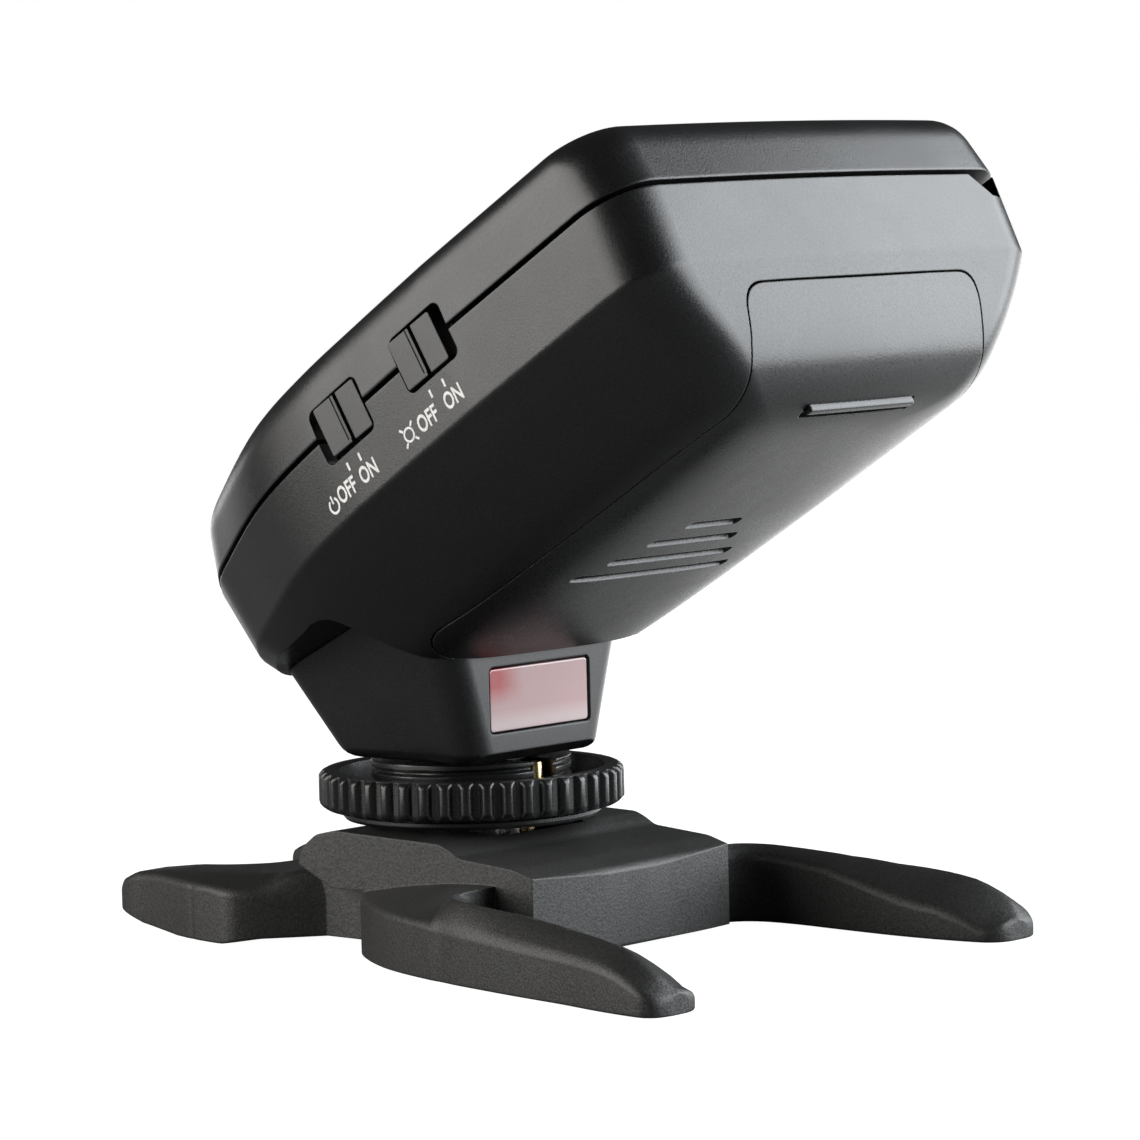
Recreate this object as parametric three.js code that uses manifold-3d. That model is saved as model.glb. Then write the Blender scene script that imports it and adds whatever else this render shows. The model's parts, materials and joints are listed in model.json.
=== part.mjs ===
// Wireless flash trigger, clamped by its shoe in a four-legged mini stand.
// Millimetres, +Z up. The trigger's case is a slab tilted on its neck, so its pieces are
// drawn in the slab's own axes: X across, U along the slab towards its high front end
// (stored as -Y) and W through its thickness towards the screen (stored as +Z).
import * as THREE from 'three';
import { mergeVertices } from 'three/addons/utils/BufferGeometryUtils.js';
import Module from 'manifold-3d';

const wasm = await Module();
wasm.setup();

// ---- driving dimensions ----
const TILT = THREE.MathUtils.degToRad(31.5);  // slab above the horizontal
const Y_SHIFT = 9.1;        // puts the origin under the middle of the whole object
const GAP = 0.3;            // between pieces that touch
const WALL = 1.6;           // case wall
const HALF_WIDTH = 30.8;    // case, at its seam
const FRONT = 82;           // case front end, along U
const SEAM_W = 41;
const TOP_W = 48.9;         // screen side
const UNDER_W = 19.8;       // battery side
const NECK_BOTTOM = 19;
const RING_RADIUS = 15.5;

// Levels of the case from the battery side up: [w, half width, front u, corner radius, low end u].
const LOWER_LEVELS = [
  [UNDER_W, 14, 71, 3, 4],
  [20.4, 18.5, 73.4, 3.5, 4],
  [21.7, 20.1, 75.4, 4, 4],
  [23.7, 22.3, 77.5, 4.5, 3],
  [26.7, 25.3, 79.1, 5, 2],
  [29.8, 28.2, 80, 5.5, 1],
  [32.7, 30.5, 81, 6, -0.4],
  [SEAM_W, HALF_WIDTH, FRONT, 6, -1.6],
];
const UPPER_LEVELS = [
  [SEAM_W, HALF_WIDTH, FRONT, 6, -1.6],
  [46.2, 30.45, 81.4, 6, 0.2],
  [47.6, 29.9, 80.8, 6, 2],
  [48.5, 29, 79.9, 5.6, 4.2],
  [TOP_W, 27.6, 78.4, 5, 7],
];
const TAPER_START = 55;     // below this u the sides draw in towards the low end
const TAPER = [             // share of the half width, and u
  [1, 55], [0.98, 43], [0.953, 32], [0.885, 22], [0.72, 10.7], [0.6, 4.6], [0.38, -0.5], [0, -1.6],
];
const FRONT_BOW = 0.4;      // how far the front face's middle stands proud

const DOOR = {
  halfWidth: 18.5, low: 25.2, topW: 30.1, topHalfWidth: 17.5, bend: 74, thickness: 1.3, corner: 2.2,
};
const DOOR_AXIS = { u: 78.95, w: 29.4 };
const PIN = { radius: 0.4, bore: 0.5, inner: 16.4, length: 3.2 };
const FINGER_RIDGE = { reach: 8.2, u0: 73.7, u1: 75, tip: 19.7, root: 22.6 };
const GROOVES = { u: [51.2, 47.9, 44.5, 41.4], reach: 4, widening: 2.65, half: 0.7, floor: 20.2 };

const BAY = { halfWidth: 15, low: 25.2, high: 77.2, ceiling: 39.3, rim: 22.4, wall: 0.7 };
const CELL = { radius: 7, length: 50.5, pitch: 7.3, low: 26, w: 32.1 };
const BOARD = { x0: -21.6, x1: 27, u0: 12, u1: 75.8, w0: 40.3, w1: 41.7 };
const CONTACTS_U = { low: [25.5, 25.8], high: [76.7, 76.9], halfWidth: 13.5 };
const SCREEN = { x0: -20.5, x1: 19.5, u0: 45, u1: 71.6 };

const LAMP_SWITCH = { u0: 48.2, u1: 56.2, knobLow: 48.45, knobFace: 30.75 };
const POWER_SWITCH = { u0: 34.4, u1: 42.4, knobLow: 35.9, knobFace: 30.2 };
const SWITCH_W = [38, 44];
const KNOB = { length: 6.3, height: 5.3, groove: 0.55, grooveDepth: 0.8, foot: -28.5 };

const PORT = { u0: 56, u1: 76, w0: 36.6, w1: 44.2, depth: 1.3 };

const DIAL = {
  x: -10.5, u: 23.5, radius: 8.6, inner: 5.3, base: 47.6, height: 1.7, lobes: 24, lobeDepth: 0.3,
};
const SET_KEY = { radius: 4.9, stem: -2.6 };
const KEY_TOP = TOP_W + 0.6;
const KEY_FLANGE = { low: 45.2, high: 46.8, reach: 0.6, clearance: 0.25 };
const COVER_CUT = [44, 52];   // heights between which the cover's openings are cut
const SCREWS = [[0, 33.8], [0, 74.6]];
const NECK_SCREWS = [[-6.5, 13.5], [6.5, 13.5]];
const SCREW = { head: 1.95, shank: 0.85, hole: 1.15, post: 2.3, boardHole: 1.2 };

// ---- materials ----
function paint(color, roughness, metalness = 0) {
  return new THREE.MeshStandardMaterial({ color, roughness, metalness });
}
const caseBlack = paint(0x232323, 0.62);
const doorBlack = paint(0x202021, 0.6);
const neckBlack = paint(0x161617, 0.5);
const buttonGrey = paint(0x3b3d40, 0.55);
const rubberBlack = paint(0x1b1b1b, 0.85);
const screenGlass = paint(0x30343a, 0.08);
const windowRed = paint(0x7a3038, 0.2);
const steel = paint(0xa8a9ab, 0.35, 1);
const brass = paint(0xb08d4c, 0.35, 1);
const boardGreen = paint(0x1f5a35, 0.6);
const lampWhite = paint(0xe4e4de, 0.3);
const cellWrap = paint(0x3f5d7a, 0.4);

// ---- geometry helpers ----
function solid(geometry) {
  const plain = geometry.clone();
  plain.deleteAttribute('normal');
  plain.deleteAttribute('uv');
  const merged = mergeVertices(plain, 1e-4);
  const vertProperties = new Float32Array(merged.attributes.position.array);
  const triVerts = new Uint32Array(merged.index.array);
  return new wasm.Manifold(new wasm.Mesh({ numProp: 3, vertProperties, triVerts }));
}

function shell(manifold) {
  const mesh = manifold.getMesh();
  const geometry = new THREE.BufferGeometry();
  geometry.setAttribute('position', new THREE.BufferAttribute(new Float32Array(mesh.vertProperties), 3));
  geometry.setIndex(new THREE.BufferAttribute(new Uint32Array(mesh.triVerts), 1));
  geometry.computeVertexNormals();
  return geometry;
}

// A closed skin through rings of points; every ring has the same count, in order along the stack.
function skin(rings, closedLoop = false) {
  const count = rings[0].length;
  const vertices = rings.flat();
  const faces = [];
  const last = closedLoop ? rings.length : rings.length - 1;
  for (let r = 0; r < last; r++) {
    const low = r * count;
    const high = ((r + 1) % rings.length) * count;
    for (let i = 0; i < count; i++) {
      const j = (i + 1) % count;
      faces.push([low + i, low + j, high + j], [low + i, high + j, high + i]);
    }
  }
  if (!closedLoop) {
    for (const [ring, flip] of [[0, true], [rings.length - 1, false]]) {
      const points = rings[ring].map((p) => new THREE.Vector2(p.x, p.y));
      for (const [a, b, c] of THREE.ShapeUtils.triangulateShape(points, [])) {
        const face = [a, b, c].map((k) => ring * count + k);
        faces.push(flip ? face.reverse() : face);
      }
    }
  }
  const geometry = new THREE.BufferGeometry().setFromPoints(vertices);
  geometry.setIndex(faces.flat());
  geometry.computeVertexNormals();
  return geometry;
}

const ringAt = (outline, z) => outline.map(([x, y]) => new THREE.Vector3(x, y, z));

// Moves an outline sideways by a distance, outwards when positive; the outline runs anticlockwise.
function offset(outline, distance) {
  const count = outline.length;
  return outline.map(([x, y], i) => {
    const [ax, ay] = outline[(i + count - 1) % count];
    const [bx, by] = outline[(i + 1) % count];
    const before = new THREE.Vector2(y - ay, ax - x).normalize();
    const after = new THREE.Vector2(by - y, x - bx).normalize();
    const normal = before.clone().add(after).normalize();
    const reach = distance / Math.max(normal.dot(before), 0.5);
    return [x + normal.x * reach, y + normal.y * reach];
  });
}

// Scales an outline about its middle.
function shrink(outline, factor) {
  const middle = [0, 1].map((axis) => outline.reduce((sum, point) => sum + point[axis], 0) / outline.length);
  return outline.map((point) => point.map((value, axis) => middle[axis] + factor * (value - middle[axis])));
}

function roundedRect(x0, x1, y0, y1, radius, steps = 3) {
  const centres = [
    [x1 - radius, y1 - radius], [x0 + radius, y1 - radius],
    [x0 + radius, y0 + radius], [x1 - radius, y0 + radius],
  ];
  const outline = [];
  centres.forEach(([cx, cy], corner) => {
    for (let i = 0; i <= steps; i++) {
      const angle = (corner + i / steps) * Math.PI / 2;
      outline.push([cx + radius * Math.cos(angle), cy + radius * Math.sin(angle)]);
    }
  });
  return outline;
}

function circle(cx, cy, radius, count = 20) {
  return Array.from({ length: count }, (_, i) => {
    const angle = (i / count) * 2 * Math.PI;
    return [cx + radius * Math.cos(angle), cy + radius * Math.sin(angle)];
  });
}

// Straight or stepped prism: levels are [z, outwards offset] pairs.
const stack = (outline, levels) => skin(levels.map(([z, grow]) => ringAt(offset(outline, grow), z)));
const prism = (outline, z0, z1) => skin([ringAt(outline, z0), ringAt(outline, z1)]);
const block = (x0, x1, y0, y1, z0, z1) => prism([[x1, y1], [x0, y1], [x0, y0], [x1, y0]], z0, z1);
const rod = (cx, cy, radius, z0, z1, count = 16) => prism(circle(cx, cy, radius, count), z0, z1);

// A slab-frame prism between two u values is drawn with u stored as -y.
const slabBlock = (x0, x1, u0, u1, w0, w1) => block(x0, x1, -u1, -u0, w0, w1);
const slabRod = (x, u, radius, w0, w1, count = 16) => rod(x, -u, radius, w0, w1, count);

// Turns a prism that stands along Z so that it lies along X.
const alongX = (geometry) => geometry.applyMatrix4(new THREE.Matrix4().set(
  0, 0, 1, 0, 1, 0, 0, 0, 0, 1, 0, 0, 0, 0, 0, 1));
// Turns it so that it lies along the slab's length.
const alongY = (geometry) => geometry.applyMatrix4(new THREE.Matrix4().set(
  0, 1, 0, 0, 0, 0, 1, 0, 1, 0, 0, 0, 0, 0, 0, 1));
const sideways = (yzOutline, x0, x1) => alongX(prism(yzOutline, x0, x1));

// ---- scene ----
const trigger = new THREE.Group();
trigger.name = 'flash_trigger';
const upright = new THREE.Group();
upright.position.y = Y_SHIFT;
const slab = new THREE.Group();
slab.rotation.x = -TILT;
upright.add(slab);
trigger.add(upright);

function place(group, name, geometry, material) {
  const surface = geometry instanceof THREE.BufferGeometry ? geometry : shell(geometry);
  const mesh = new THREE.Mesh(surface, material);
  mesh.name = name;
  group.add(mesh);
}

// ---- case ----
function caseOutline(halfWidth, front, corner, end) {
  const half = [];
  for (const t of [0, 0.35, 0.7]) half.push([t * (halfWidth - corner), front - FRONT_BOW * t * t]);
  for (let i = 0; i <= 4; i++) {
    const angle = Math.PI / 2 * (1 - i / 4);
    const x = halfWidth - corner + corner * Math.cos(angle);
    half.push([x, front - FRONT_BOW - corner + corner * Math.sin(angle)]);
  }
  const curve = new THREE.SplineCurve(TAPER.map(([k, u]) => {
    const lift = (TAPER_START - u) / (TAPER_START - TAPER.at(-1)[1]);
    return new THREE.Vector2(k * halfWidth, u + lift * (end - TAPER.at(-1)[1]));
  }));
  for (const p of curve.getPoints(14)) half.push([p.x, p.y]);
  const mirrored = half.slice(1, -1).reverse().map(([x, u]) => [-x, u]);
  return [...half, ...mirrored].map(([x, u]) => [x, -u]);
}

function anticlockwise(outline) {
  const area = outline.reduce((sum, [x, y], i) => {
    const [bx, by] = outline[(i + 1) % outline.length];
    return sum + x * by - bx * y;
  }, 0);
  return area > 0 ? outline : [...outline].reverse();
}

function caseSolid(levels, low = 0, high = 0) {
  const rings = levels.map(([w, halfWidth, front, corner, end, inset = 0], i) => {
    const outline = anticlockwise(caseOutline(halfWidth, front, corner, end));
    let height = w;
    if (i === 0) height += low;
    if (i === levels.length - 1) height += high;
    return ringAt(offset(outline, -inset), height);
  });
  return solid(skin(rings));
}

// Pulls the case's levels in by a wall, square to the case's profile at each level.
function pulledIn(levels, wall) {
  return levels.map(([w, ...plan], i) => {
    const before = levels[Math.max(i - 1, 0)];
    const after = levels[Math.min(i + 1, levels.length - 1)];
    const run = (after[1] - before[1] + after[2] - before[2]) / 2;
    const square = new THREE.Vector2(after[0] - before[0], run).normalize();
    return [w + wall * square.y, ...plan, wall * square.x];
  });
}

// Scoop beside the neck, where the low end of the underside is cut back.
const SCOOP = [
  [25.6, 19.8], [24, 21.2], [22.2, 24.4], [20.9, 27], [19.6, 28.6], [17.3, 29.4], [14, 29.7], [5, 30.8],
];
const WIDE = 40;            // half length of a cutter that runs right across the object
function scoop(grow) {
  const edge = SCOOP.map(([u, w]) => [-(u + grow), w + grow]);
  const outline = [[-(27 + grow), 12], [12, 12], [12, 31.6 + grow], ...edge.reverse()];
  return solid(sideways(anticlockwise(outline), -WIDE, WIDE));
}

function doorCut(grow) {
  const { halfWidth, low, bend, topHalfWidth, topW, corner } = DOOR;
  const side = [
    [halfWidth - corner, low], [halfWidth, low + corner], [halfWidth, bend - 2], [topHalfWidth, FRONT + 4],
  ];
  const plan = [...side, ...side.map(([x, u]) => [-x, u]).reverse()].map(([x, u]) => [x, -u]);
  return solid(prism(offset(anticlockwise(plan), grow), 12, topW + 2.2 * grow));
}

// A bar along X with a rounded section.
function ringBox(x0, x1, u0, u1, w0, w1, radius) {
  const outline = roundedRect(-u1, -u0, w0, w1, radius, 3);
  return solid(sideways(outline, x0, x1));
}

const BEYOND = 34;          // past the case's sides
const switchHole = ({ u0, u1 }) => ringBox(-BEYOND, -27.5, u0, u1, ...SWITCH_W, 0.9);
function portRecess() {
  const { u0, u1, w0, w1, depth } = PORT;
  return ringBox(HALF_WIDTH - depth, BEYOND, u0 - GAP, u1 + GAP, w0 - GAP, w1 + GAP, 1.6);
}
const portHole = () => ringBox(24, BEYOND, PORT.u0 + 2.5, PORT.u1 - 2.2, 37.6, 43.2, 1);
// The openings that both halves of the case share.
function withSideHoles(body) {
  const holes = [switchHole(LAMP_SWITCH), switchHole(POWER_SWITCH), portRecess(), portHole()];
  return holes.reduce((left, hole) => left.subtract(hole), body);
}

function lowerShell() {
  const outside = caseSolid(LOWER_LEVELS, 0, -GAP / 2);
  const inside = caseSolid(pulledIn(LOWER_LEVELS, WALL), 0, 2);
  const neckSide = scoop(GAP);
  const roof = scoop(GAP + WALL);
  let body = outside.subtract(inside.subtract(roof)).subtract(neckSide).subtract(doorCut(GAP));
  body = withSideHoles(body);
  for (const [x, u] of NECK_SCREWS) body = body.subtract(solid(slabRod(x, u, SCREW.hole, 26, 36)));
  const boreEnd = PIN.inner + PIN.length + 0.6;
  return body.subtract(solid(alongX(rod(-DOOR_AXIS.u, DOOR_AXIS.w, PIN.bore, -boreEnd, boreEnd, 12))));
}

const buttonSpots = [];   // filled below: openings that the cover needs, one per key

function upperCover() {
  const outside = caseSolid(UPPER_LEVELS, GAP / 2);
  const inside = caseSolid(pulledIn(UPPER_LEVELS, WALL), -2);
  let body = outside.subtract(inside);
  body = withSideHoles(body);
  const { x0, x1, u0, u1 } = SCREEN;
  const screenHole = roundedRect(x0 - GAP, x1 + GAP, -u1 - GAP, -u0 + GAP, 1.6);
  body = body.subtract(solid(prism(screenHole, ...COVER_CUT)));
  for (const outline of buttonSpots) {
    body = body.subtract(solid(prism(offset(outline, KEY_FLANGE.clearance), ...COVER_CUT)));
  }
  for (const [x, u] of SCREWS) {
    const post = solid(slabRod(x, u, SCREW.post, BOARD.w1 + GAP, TOP_W - WALL + 0.2));
    body = body.add(post).subtract(solid(slabRod(x, u, SCREW.hole, 38, 47)));
  }
  return body;
}

// ---- keys on the screen side ----
// Each key has a rounded cap, a flange that keeps it under the cover and a plunger to the board.
function key(name, outline, height = KEY_TOP) {
  buttonSpots.push(outline);
  const { low, high, reach } = KEY_FLANGE;
  const levels = [[low, reach], [high, reach], [high, 0], [height - 0.4, 0], [height, -0.4]];
  const plunger = [BOARD.w1 + 0.9, low].map((w) => ringAt(shrink(outline, 0.4), w));
  const cap = levels.map(([w, grow]) => ringAt(offset(outline, grow), w));
  place(slab, name, skin([...plunger, ...cap]), buttonGrey);
}
const keyCap = (x, u, length, width, radius) => roundedRect(
  x - length / 2, x + length / 2, -u - width / 2, -u + width / 2, radius, 2);

const GROUP_KEYS = { count: 5, x: 24.25, pitch: 5.35 };
for (let i = 0; i < GROUP_KEYS.count; i++) {
  const u = SCREEN.u1 - 2.7 - i * GROUP_KEYS.pitch;
  key(`group_button_${i + 1}`, keyCap(GROUP_KEYS.x, u, 4.7, 3.8, 0.9));
}
const FUNCTION_KEYS = { count: 4, x: 14.5, u: 39.35, pitch: 10 };
for (let i = 0; i < FUNCTION_KEYS.count; i++) {
  const x = FUNCTION_KEYS.x - i * FUNCTION_KEYS.pitch;
  key(`function_button_${i + 1}`, keyCap(x, FUNCTION_KEYS.u, 7.2, 3.9, 1.2));
}
key('mode_button', keyCap(9.4, 30.1, 6, 3.8, 1.5));
key('zoom_button', keyCap(18.6, 30.1, 6, 3.8, 1.5));
key('test_button', circle(12.6, -20, 4.1, 20), KEY_TOP + 0.2);

function dialRing() {
  const { x, u, radius, inner, base, lobes, lobeDepth } = DIAL;
  const top = TOP_W + DIAL.height;
  const neck = radius - 0.6;
  const profile = [
    [inner, base], [neck, base], [neck, TOP_W + 0.3], [radius, TOP_W + 0.3], [radius, top - 0.5],
    [radius - 0.6, top], [inner, top],
  ];
  const rings = profile.map(([r, w]) => Array.from({ length: 2 * lobes }, (_, i) => {
    const angle = (i / lobes) * Math.PI;
    const reach = r === radius && i % 2 ? r - lobeDepth : r;
    return new THREE.Vector3(x + reach * Math.cos(angle), -u + reach * Math.sin(angle), w);
  }));
  return skin(rings, true);
}
buttonSpots.push(circle(DIAL.x, -DIAL.u, DIAL.radius - 0.6, 32));
place(slab, 'select_dial', dialRing(), buttonGrey);
const setLevels = [
  [45.4, SET_KEY.stem], [47.2, SET_KEY.stem], [47.2, 0], [TOP_W + 1.3, 0], [KEY_TOP + 1.1, -0.4],
];
place(slab, 'set_button', stack(circle(DIAL.x, -DIAL.u, SET_KEY.radius, 20), setLevels), buttonGrey);
const lampOutline = circle(3, -25, 0.9, 10);
buttonSpots.push(lampOutline);
place(slab, 'status_lamp', prism(lampOutline, 46.2, TOP_W + 0.15), lampWhite);

place(slab, 'lower_shell', lowerShell(), caseBlack);
place(slab, 'upper_cover', upperCover(), caseBlack);

// ---- screen and board ----
function screen() {
  const { x0, x1, u0, u1 } = SCREEN;
  const window = stack(roundedRect(x0, x1, -u1, -u0, 1.4, 2), [[47.6, 0], [48.6, 0], [48.8, -0.2]]);
  place(slab, 'lcd_window', window, screenGlass);
  place(slab, 'lcd_panel', slabBlock(x0 + 1.5, x1 - 1.5, u0 + 1, u1 - 1, 44.6, 47.2), steel);
}
screen();

function mainBoard() {
  const { x0, x1, u0, u1, w0, w1 } = BOARD;
  const plan = [[x1, u1], [x0, u1], [x0, 16], [-18.5, u0], [18.5, u0], [25, 30], [x1, 44]];
  let board = solid(prism(anticlockwise(plan.map(([x, u]) => [x, -u])), w0, w1));
  for (const [x, u] of SCREWS) board = board.subtract(solid(slabRod(x, u, SCREW.boardHole, w0 - 1, w1 + 1)));
  return board;
}
place(slab, 'main_board', mainBoard(), boardGreen);
place(slab, 'antenna', slabBlock(-16, 16, 77.2, 77.8, 41.9, 46.2), brass);

// ---- battery side ----
function batteryDoor() {
  const { thickness } = DOOR;
  const inside = caseSolid(pulledIn(LOWER_LEVELS, thickness), 0, 2);
  let door = caseSolid(LOWER_LEVELS).subtract(inside).intersect(doorCut(0));
  // finger ridge near the bend, and a stair of grooves that narrows towards the front
  const { reach, u0, u1, tip, root } = FINGER_RIDGE;
  const ridge = stack(roundedRect(-reach, reach, -u1, -u0, 0.4, 2), [[tip, -0.3], [tip + 0.5, 0], [root, 0]]);
  door = door.add(solid(ridge));
  GROOVES.u.forEach((u, i) => {
    const half = GROOVES.reach + i * GROOVES.widening;
    const plan = roundedRect(-half, half, -u - GROOVES.half, -u + GROOVES.half, 0.5, 2);
    door = door.subtract(solid(stack(plan, [[UNDER_W - 0.8, 0.2], [GROOVES.floor, -0.1]])));
  });
  for (const x0 of [-PIN.inner - PIN.length - 0.4, PIN.inner - 0.4]) {
    const bore = rod(-DOOR_AXIS.u, DOOR_AXIS.w, PIN.bore, x0, x0 + PIN.length + 0.8, 12);
    door = door.subtract(solid(alongX(bore)));
  }
  return door;
}
place(slab, 'battery_door', batteryDoor(), doorBlack);
for (const [name, x0] of [['right', -PIN.inner - PIN.length], ['left', PIN.inner]]) {
  const pin = alongX(rod(-DOOR_AXIS.u, DOOR_AXIS.w, PIN.radius, x0, x0 + PIN.length, 12));
  place(slab, `door_hinge_pin_${name}`, pin, steel);
}

function batteryBay() {
  const { halfWidth, low, high, ceiling, rim, wall } = BAY;
  const outer = halfWidth + wall;
  let bay = solid(slabBlock(-outer, outer, low - wall, high + wall, rim, ceiling + wall));
  bay = bay.subtract(solid(slabBlock(-halfWidth, halfWidth, low, high, rim - 10, ceiling)));
  // its walls stop short of the case, the door's bend and the scoop
  bay = bay.intersect(caseSolid(pulledIn(LOWER_LEVELS, WALL + GAP)));
  for (const [x, u] of SCREWS) bay = bay.subtract(solid(slabRod(x, u, SCREW.boardHole, 35, 43)));
  return bay.subtract(scoop(2 * GAP + WALL));
}
place(slab, 'battery_bay', batteryBay(), neckBlack);

function batteryCell(x, flip) {
  const { radius, length, low, w } = CELL;
  const nub = { radius: 2.7, height: 1.1 };
  const edge = 0.4;
  const body = length - nub.height;
  const profile = [
    [0, 0], [radius - edge, 0], [radius, edge], [radius, body - edge], [radius - edge, body],
    [nub.radius, body], [nub.radius, length], [0, length],
  ];
  const geometry = new THREE.LatheGeometry(profile.map(([r, y]) => new THREE.Vector2(r, y)), 24);
  if (flip) geometry.rotateX(Math.PI).translate(0, length, 0);
  return geometry.rotateX(Math.PI).translate(x, -low, w);
}
place(slab, 'battery_cell_right', batteryCell(-CELL.pitch, false), cellWrap);
place(slab, 'battery_cell_left', batteryCell(CELL.pitch, true), cellWrap);
function contactPlate(name, [u0, u1], w0) {
  const { halfWidth } = CONTACTS_U;
  place(slab, name, slabBlock(-halfWidth, halfWidth, u0, u1, w0, 36), steel);
}
contactPlate('battery_contact_low', CONTACTS_U.low, 27);
contactPlate('battery_contact_high', CONTACTS_U.high, 29.2);

function screw(x, u, headW0, headW1, tipW) {
  const head = stack(circle(x, -u, SCREW.head, 14), [[headW0, -0.3], [headW0 + 0.3, 0], [headW1, 0]]);
  let body = solid(head).add(solid(slabRod(x, u, SCREW.shank, headW1 - 0.1, tipW, 10)));
  for (const turn of [0, Math.PI / 2]) {
    const slot = block(-1.1, 1.1, -0.25, 0.25, headW0 - 1, headW0 + 0.7).rotateZ(turn).translate(x, -u, 0);
    body = body.subtract(solid(slot));
  }
  return body;
}
SCREWS.forEach(([x, u], i) => place(slab, `case_screw_${i + 1}`, screw(x, u, 37.1, 38.5, 46.4), steel));
NECK_SCREWS.forEach(([x, u], i) => place(slab, `neck_screw_${i + 1}`, screw(x, u, 27.2, 28.2, 35.4), steel));

// ---- side switches ----
function switchKnob({ knobLow, knobFace }) {
  const { length, height, groove, grooveDepth, foot } = KNOB;
  const middle = (SWITCH_W[0] + SWITCH_W[1]) / 2;
  const centre = knobLow + length / 2;
  const span = [middle - height / 2, middle + height / 2];
  let knob = ringBox(-knobFace, foot, knobLow, knobLow + length, ...span, 0.7);
  const cut = slabBlock(-knobFace - 1, -knobFace + grooveDepth, centre - groove, centre + groove, 30, 50);
  knob = knob.subtract(solid(cut));
  const stem = slabBlock(foot - 0.1, foot + 0.6, centre - 1, centre + 1, middle - 1, middle + 1);
  return knob.add(solid(stem));
}
function switchBody({ u0, u1 }) {
  return slabBlock(-27.5, -22, u0 + 0.2, u1 - 0.2, 38.4, 43.6);
}
place(slab, 'lamp_switch_knob', switchKnob(LAMP_SWITCH), neckBlack);
place(slab, 'power_switch_knob', switchKnob(POWER_SWITCH), neckBlack);
place(slab, 'lamp_switch_body', switchBody(LAMP_SWITCH), steel);
place(slab, 'power_switch_body', switchBody(POWER_SWITCH), steel);

// ---- ports under a rubber flap ----
const portX = HALF_WIDTH - PORT.depth;
const usbShell = ringBox(20.4, 28.6, 59.4, 68.4, 36.8, 39.9, 1.4);
const usbMouth = ringBox(22.4, 30, 59.8, 68, 37.2, 39.5, 1.1);
place(slab, 'usb_socket', usbShell.subtract(usbMouth), steel);
const jack = solid(slabBlock(20.6, 28.6, 69, 74.6, 34.6, 39.9));
const jackBore = solid(alongX(rod(-71.8, 38, 1.3, 22, 30, 16)));
place(slab, 'sync_socket', jack.subtract(jackBore), neckBlack);
const flap = ringBox(portX + GAP, HALF_WIDTH - 0.05, PORT.u0, PORT.u1, PORT.w0, PORT.w1, 1.3);
place(slab, 'port_cover', flap, rubberBlack);

// ---- neck ----
const NECK_LEVELS = [[NECK_BOTTOM, 10.2, 9.9], [27.7, 12.8, 15.2], [38, 16, 21.8]];
const NECK_FRONT = -9.8;
const WINDOW = { halfWidth: 7.45, low: 22.25, high: 28.6, depth: 1.2 };
function neckHousing() {
  const rings = (inset, low, high) => NECK_LEVELS.map(([z, halfWidth, rear], i) => {
    const outline = roundedRect(-halfWidth, halfWidth, NECK_FRONT, rear, 2.2, 4);
    let height = z;
    if (i === 0) height += low;
    if (i === NECK_LEVELS.length - 1) height += high;
    return ringAt(offset(outline, -inset), height);
  });
  const under = shell(scoop(0)).rotateX(-TILT);
  let neck = solid(skin(rings(0, 0, 0))).subtract(solid(skin(rings(WALL, WALL, 1))));
  neck = neck.intersect(solid(under));
  const { halfWidth, low, high } = WINDOW;
  const reach = halfWidth + GAP;
  const opening = block(-reach, reach, NECK_FRONT - 2, NECK_FRONT + 2.4, low - GAP, high + GAP);
  return neck.subtract(solid(opening));
}
place(upright, 'neck_housing', neckHousing(), neckBlack);
function windowPane() {
  const { halfWidth, low, high, depth } = WINDOW;
  return block(-halfWidth, halfWidth, NECK_FRONT, NECK_FRONT + depth, low, high);
}
place(upright, 'af_window', windowPane(), windowRed);
function reflector() {
  const cup = solid(block(-6.6, 6.6, NECK_FRONT + 1.6, NECK_FRONT + 5, 22.4, 28.2));
  return cup.subtract(solid(block(-5.9, 5.9, NECK_FRONT + 1, NECK_FRONT + 4.4, 23, 27.6)));
}
place(upright, 'af_reflector', reflector(), lampWhite);
place(upright, 'af_led', alongY(rod(25.3, 0, 1.4, NECK_FRONT + 2.2, NECK_FRONT + 4.1, 14)), windowRed);

// ---- shoe ----
// A ring turned about Z; the levels listed as fluted have every second point set in by the depth.
function revolve(profile, count, depth = 0, fluted = []) {
  const rings = profile.map(([r, z], level) => Array.from({ length: count }, (_, i) => {
    const angle = (i / count) * 2 * Math.PI;
    const reach = fluted.includes(level) && i % 2 ? r - depth : r;
    return new THREE.Vector3(reach * Math.cos(angle), reach * Math.sin(angle), z);
  }));
  return skin(rings, true);
}
const RIDGES = 45;
const ringProfile = [
  [10.7, 13.6], [RING_RADIUS - 0.7, 13.6], [RING_RADIUS, 14.2], [RING_RADIUS, 16.8],
  [RING_RADIUS - 0.6, 17.35],
  [13.4, 17.35], [13.2, 14.9], [10.7, 14.9],
];
place(upright, 'lock_ring', revolve(ringProfile, 2 * RIDGES, 0.5, [2, 3]), neckBlack);
const plateRing = revolve([[10.7, 12.42], [12.9, 12.42], [13.4, 12.7], [13.4, 13.3], [10.7, 13.3]], 40);
const pinTab = block(-1.2, 1.2, -11.2, -6.7, 12.6, 13.3);
place(upright, 'clamp_plate', solid(plateRing).add(solid(pinTab)), neckBlack);

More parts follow.
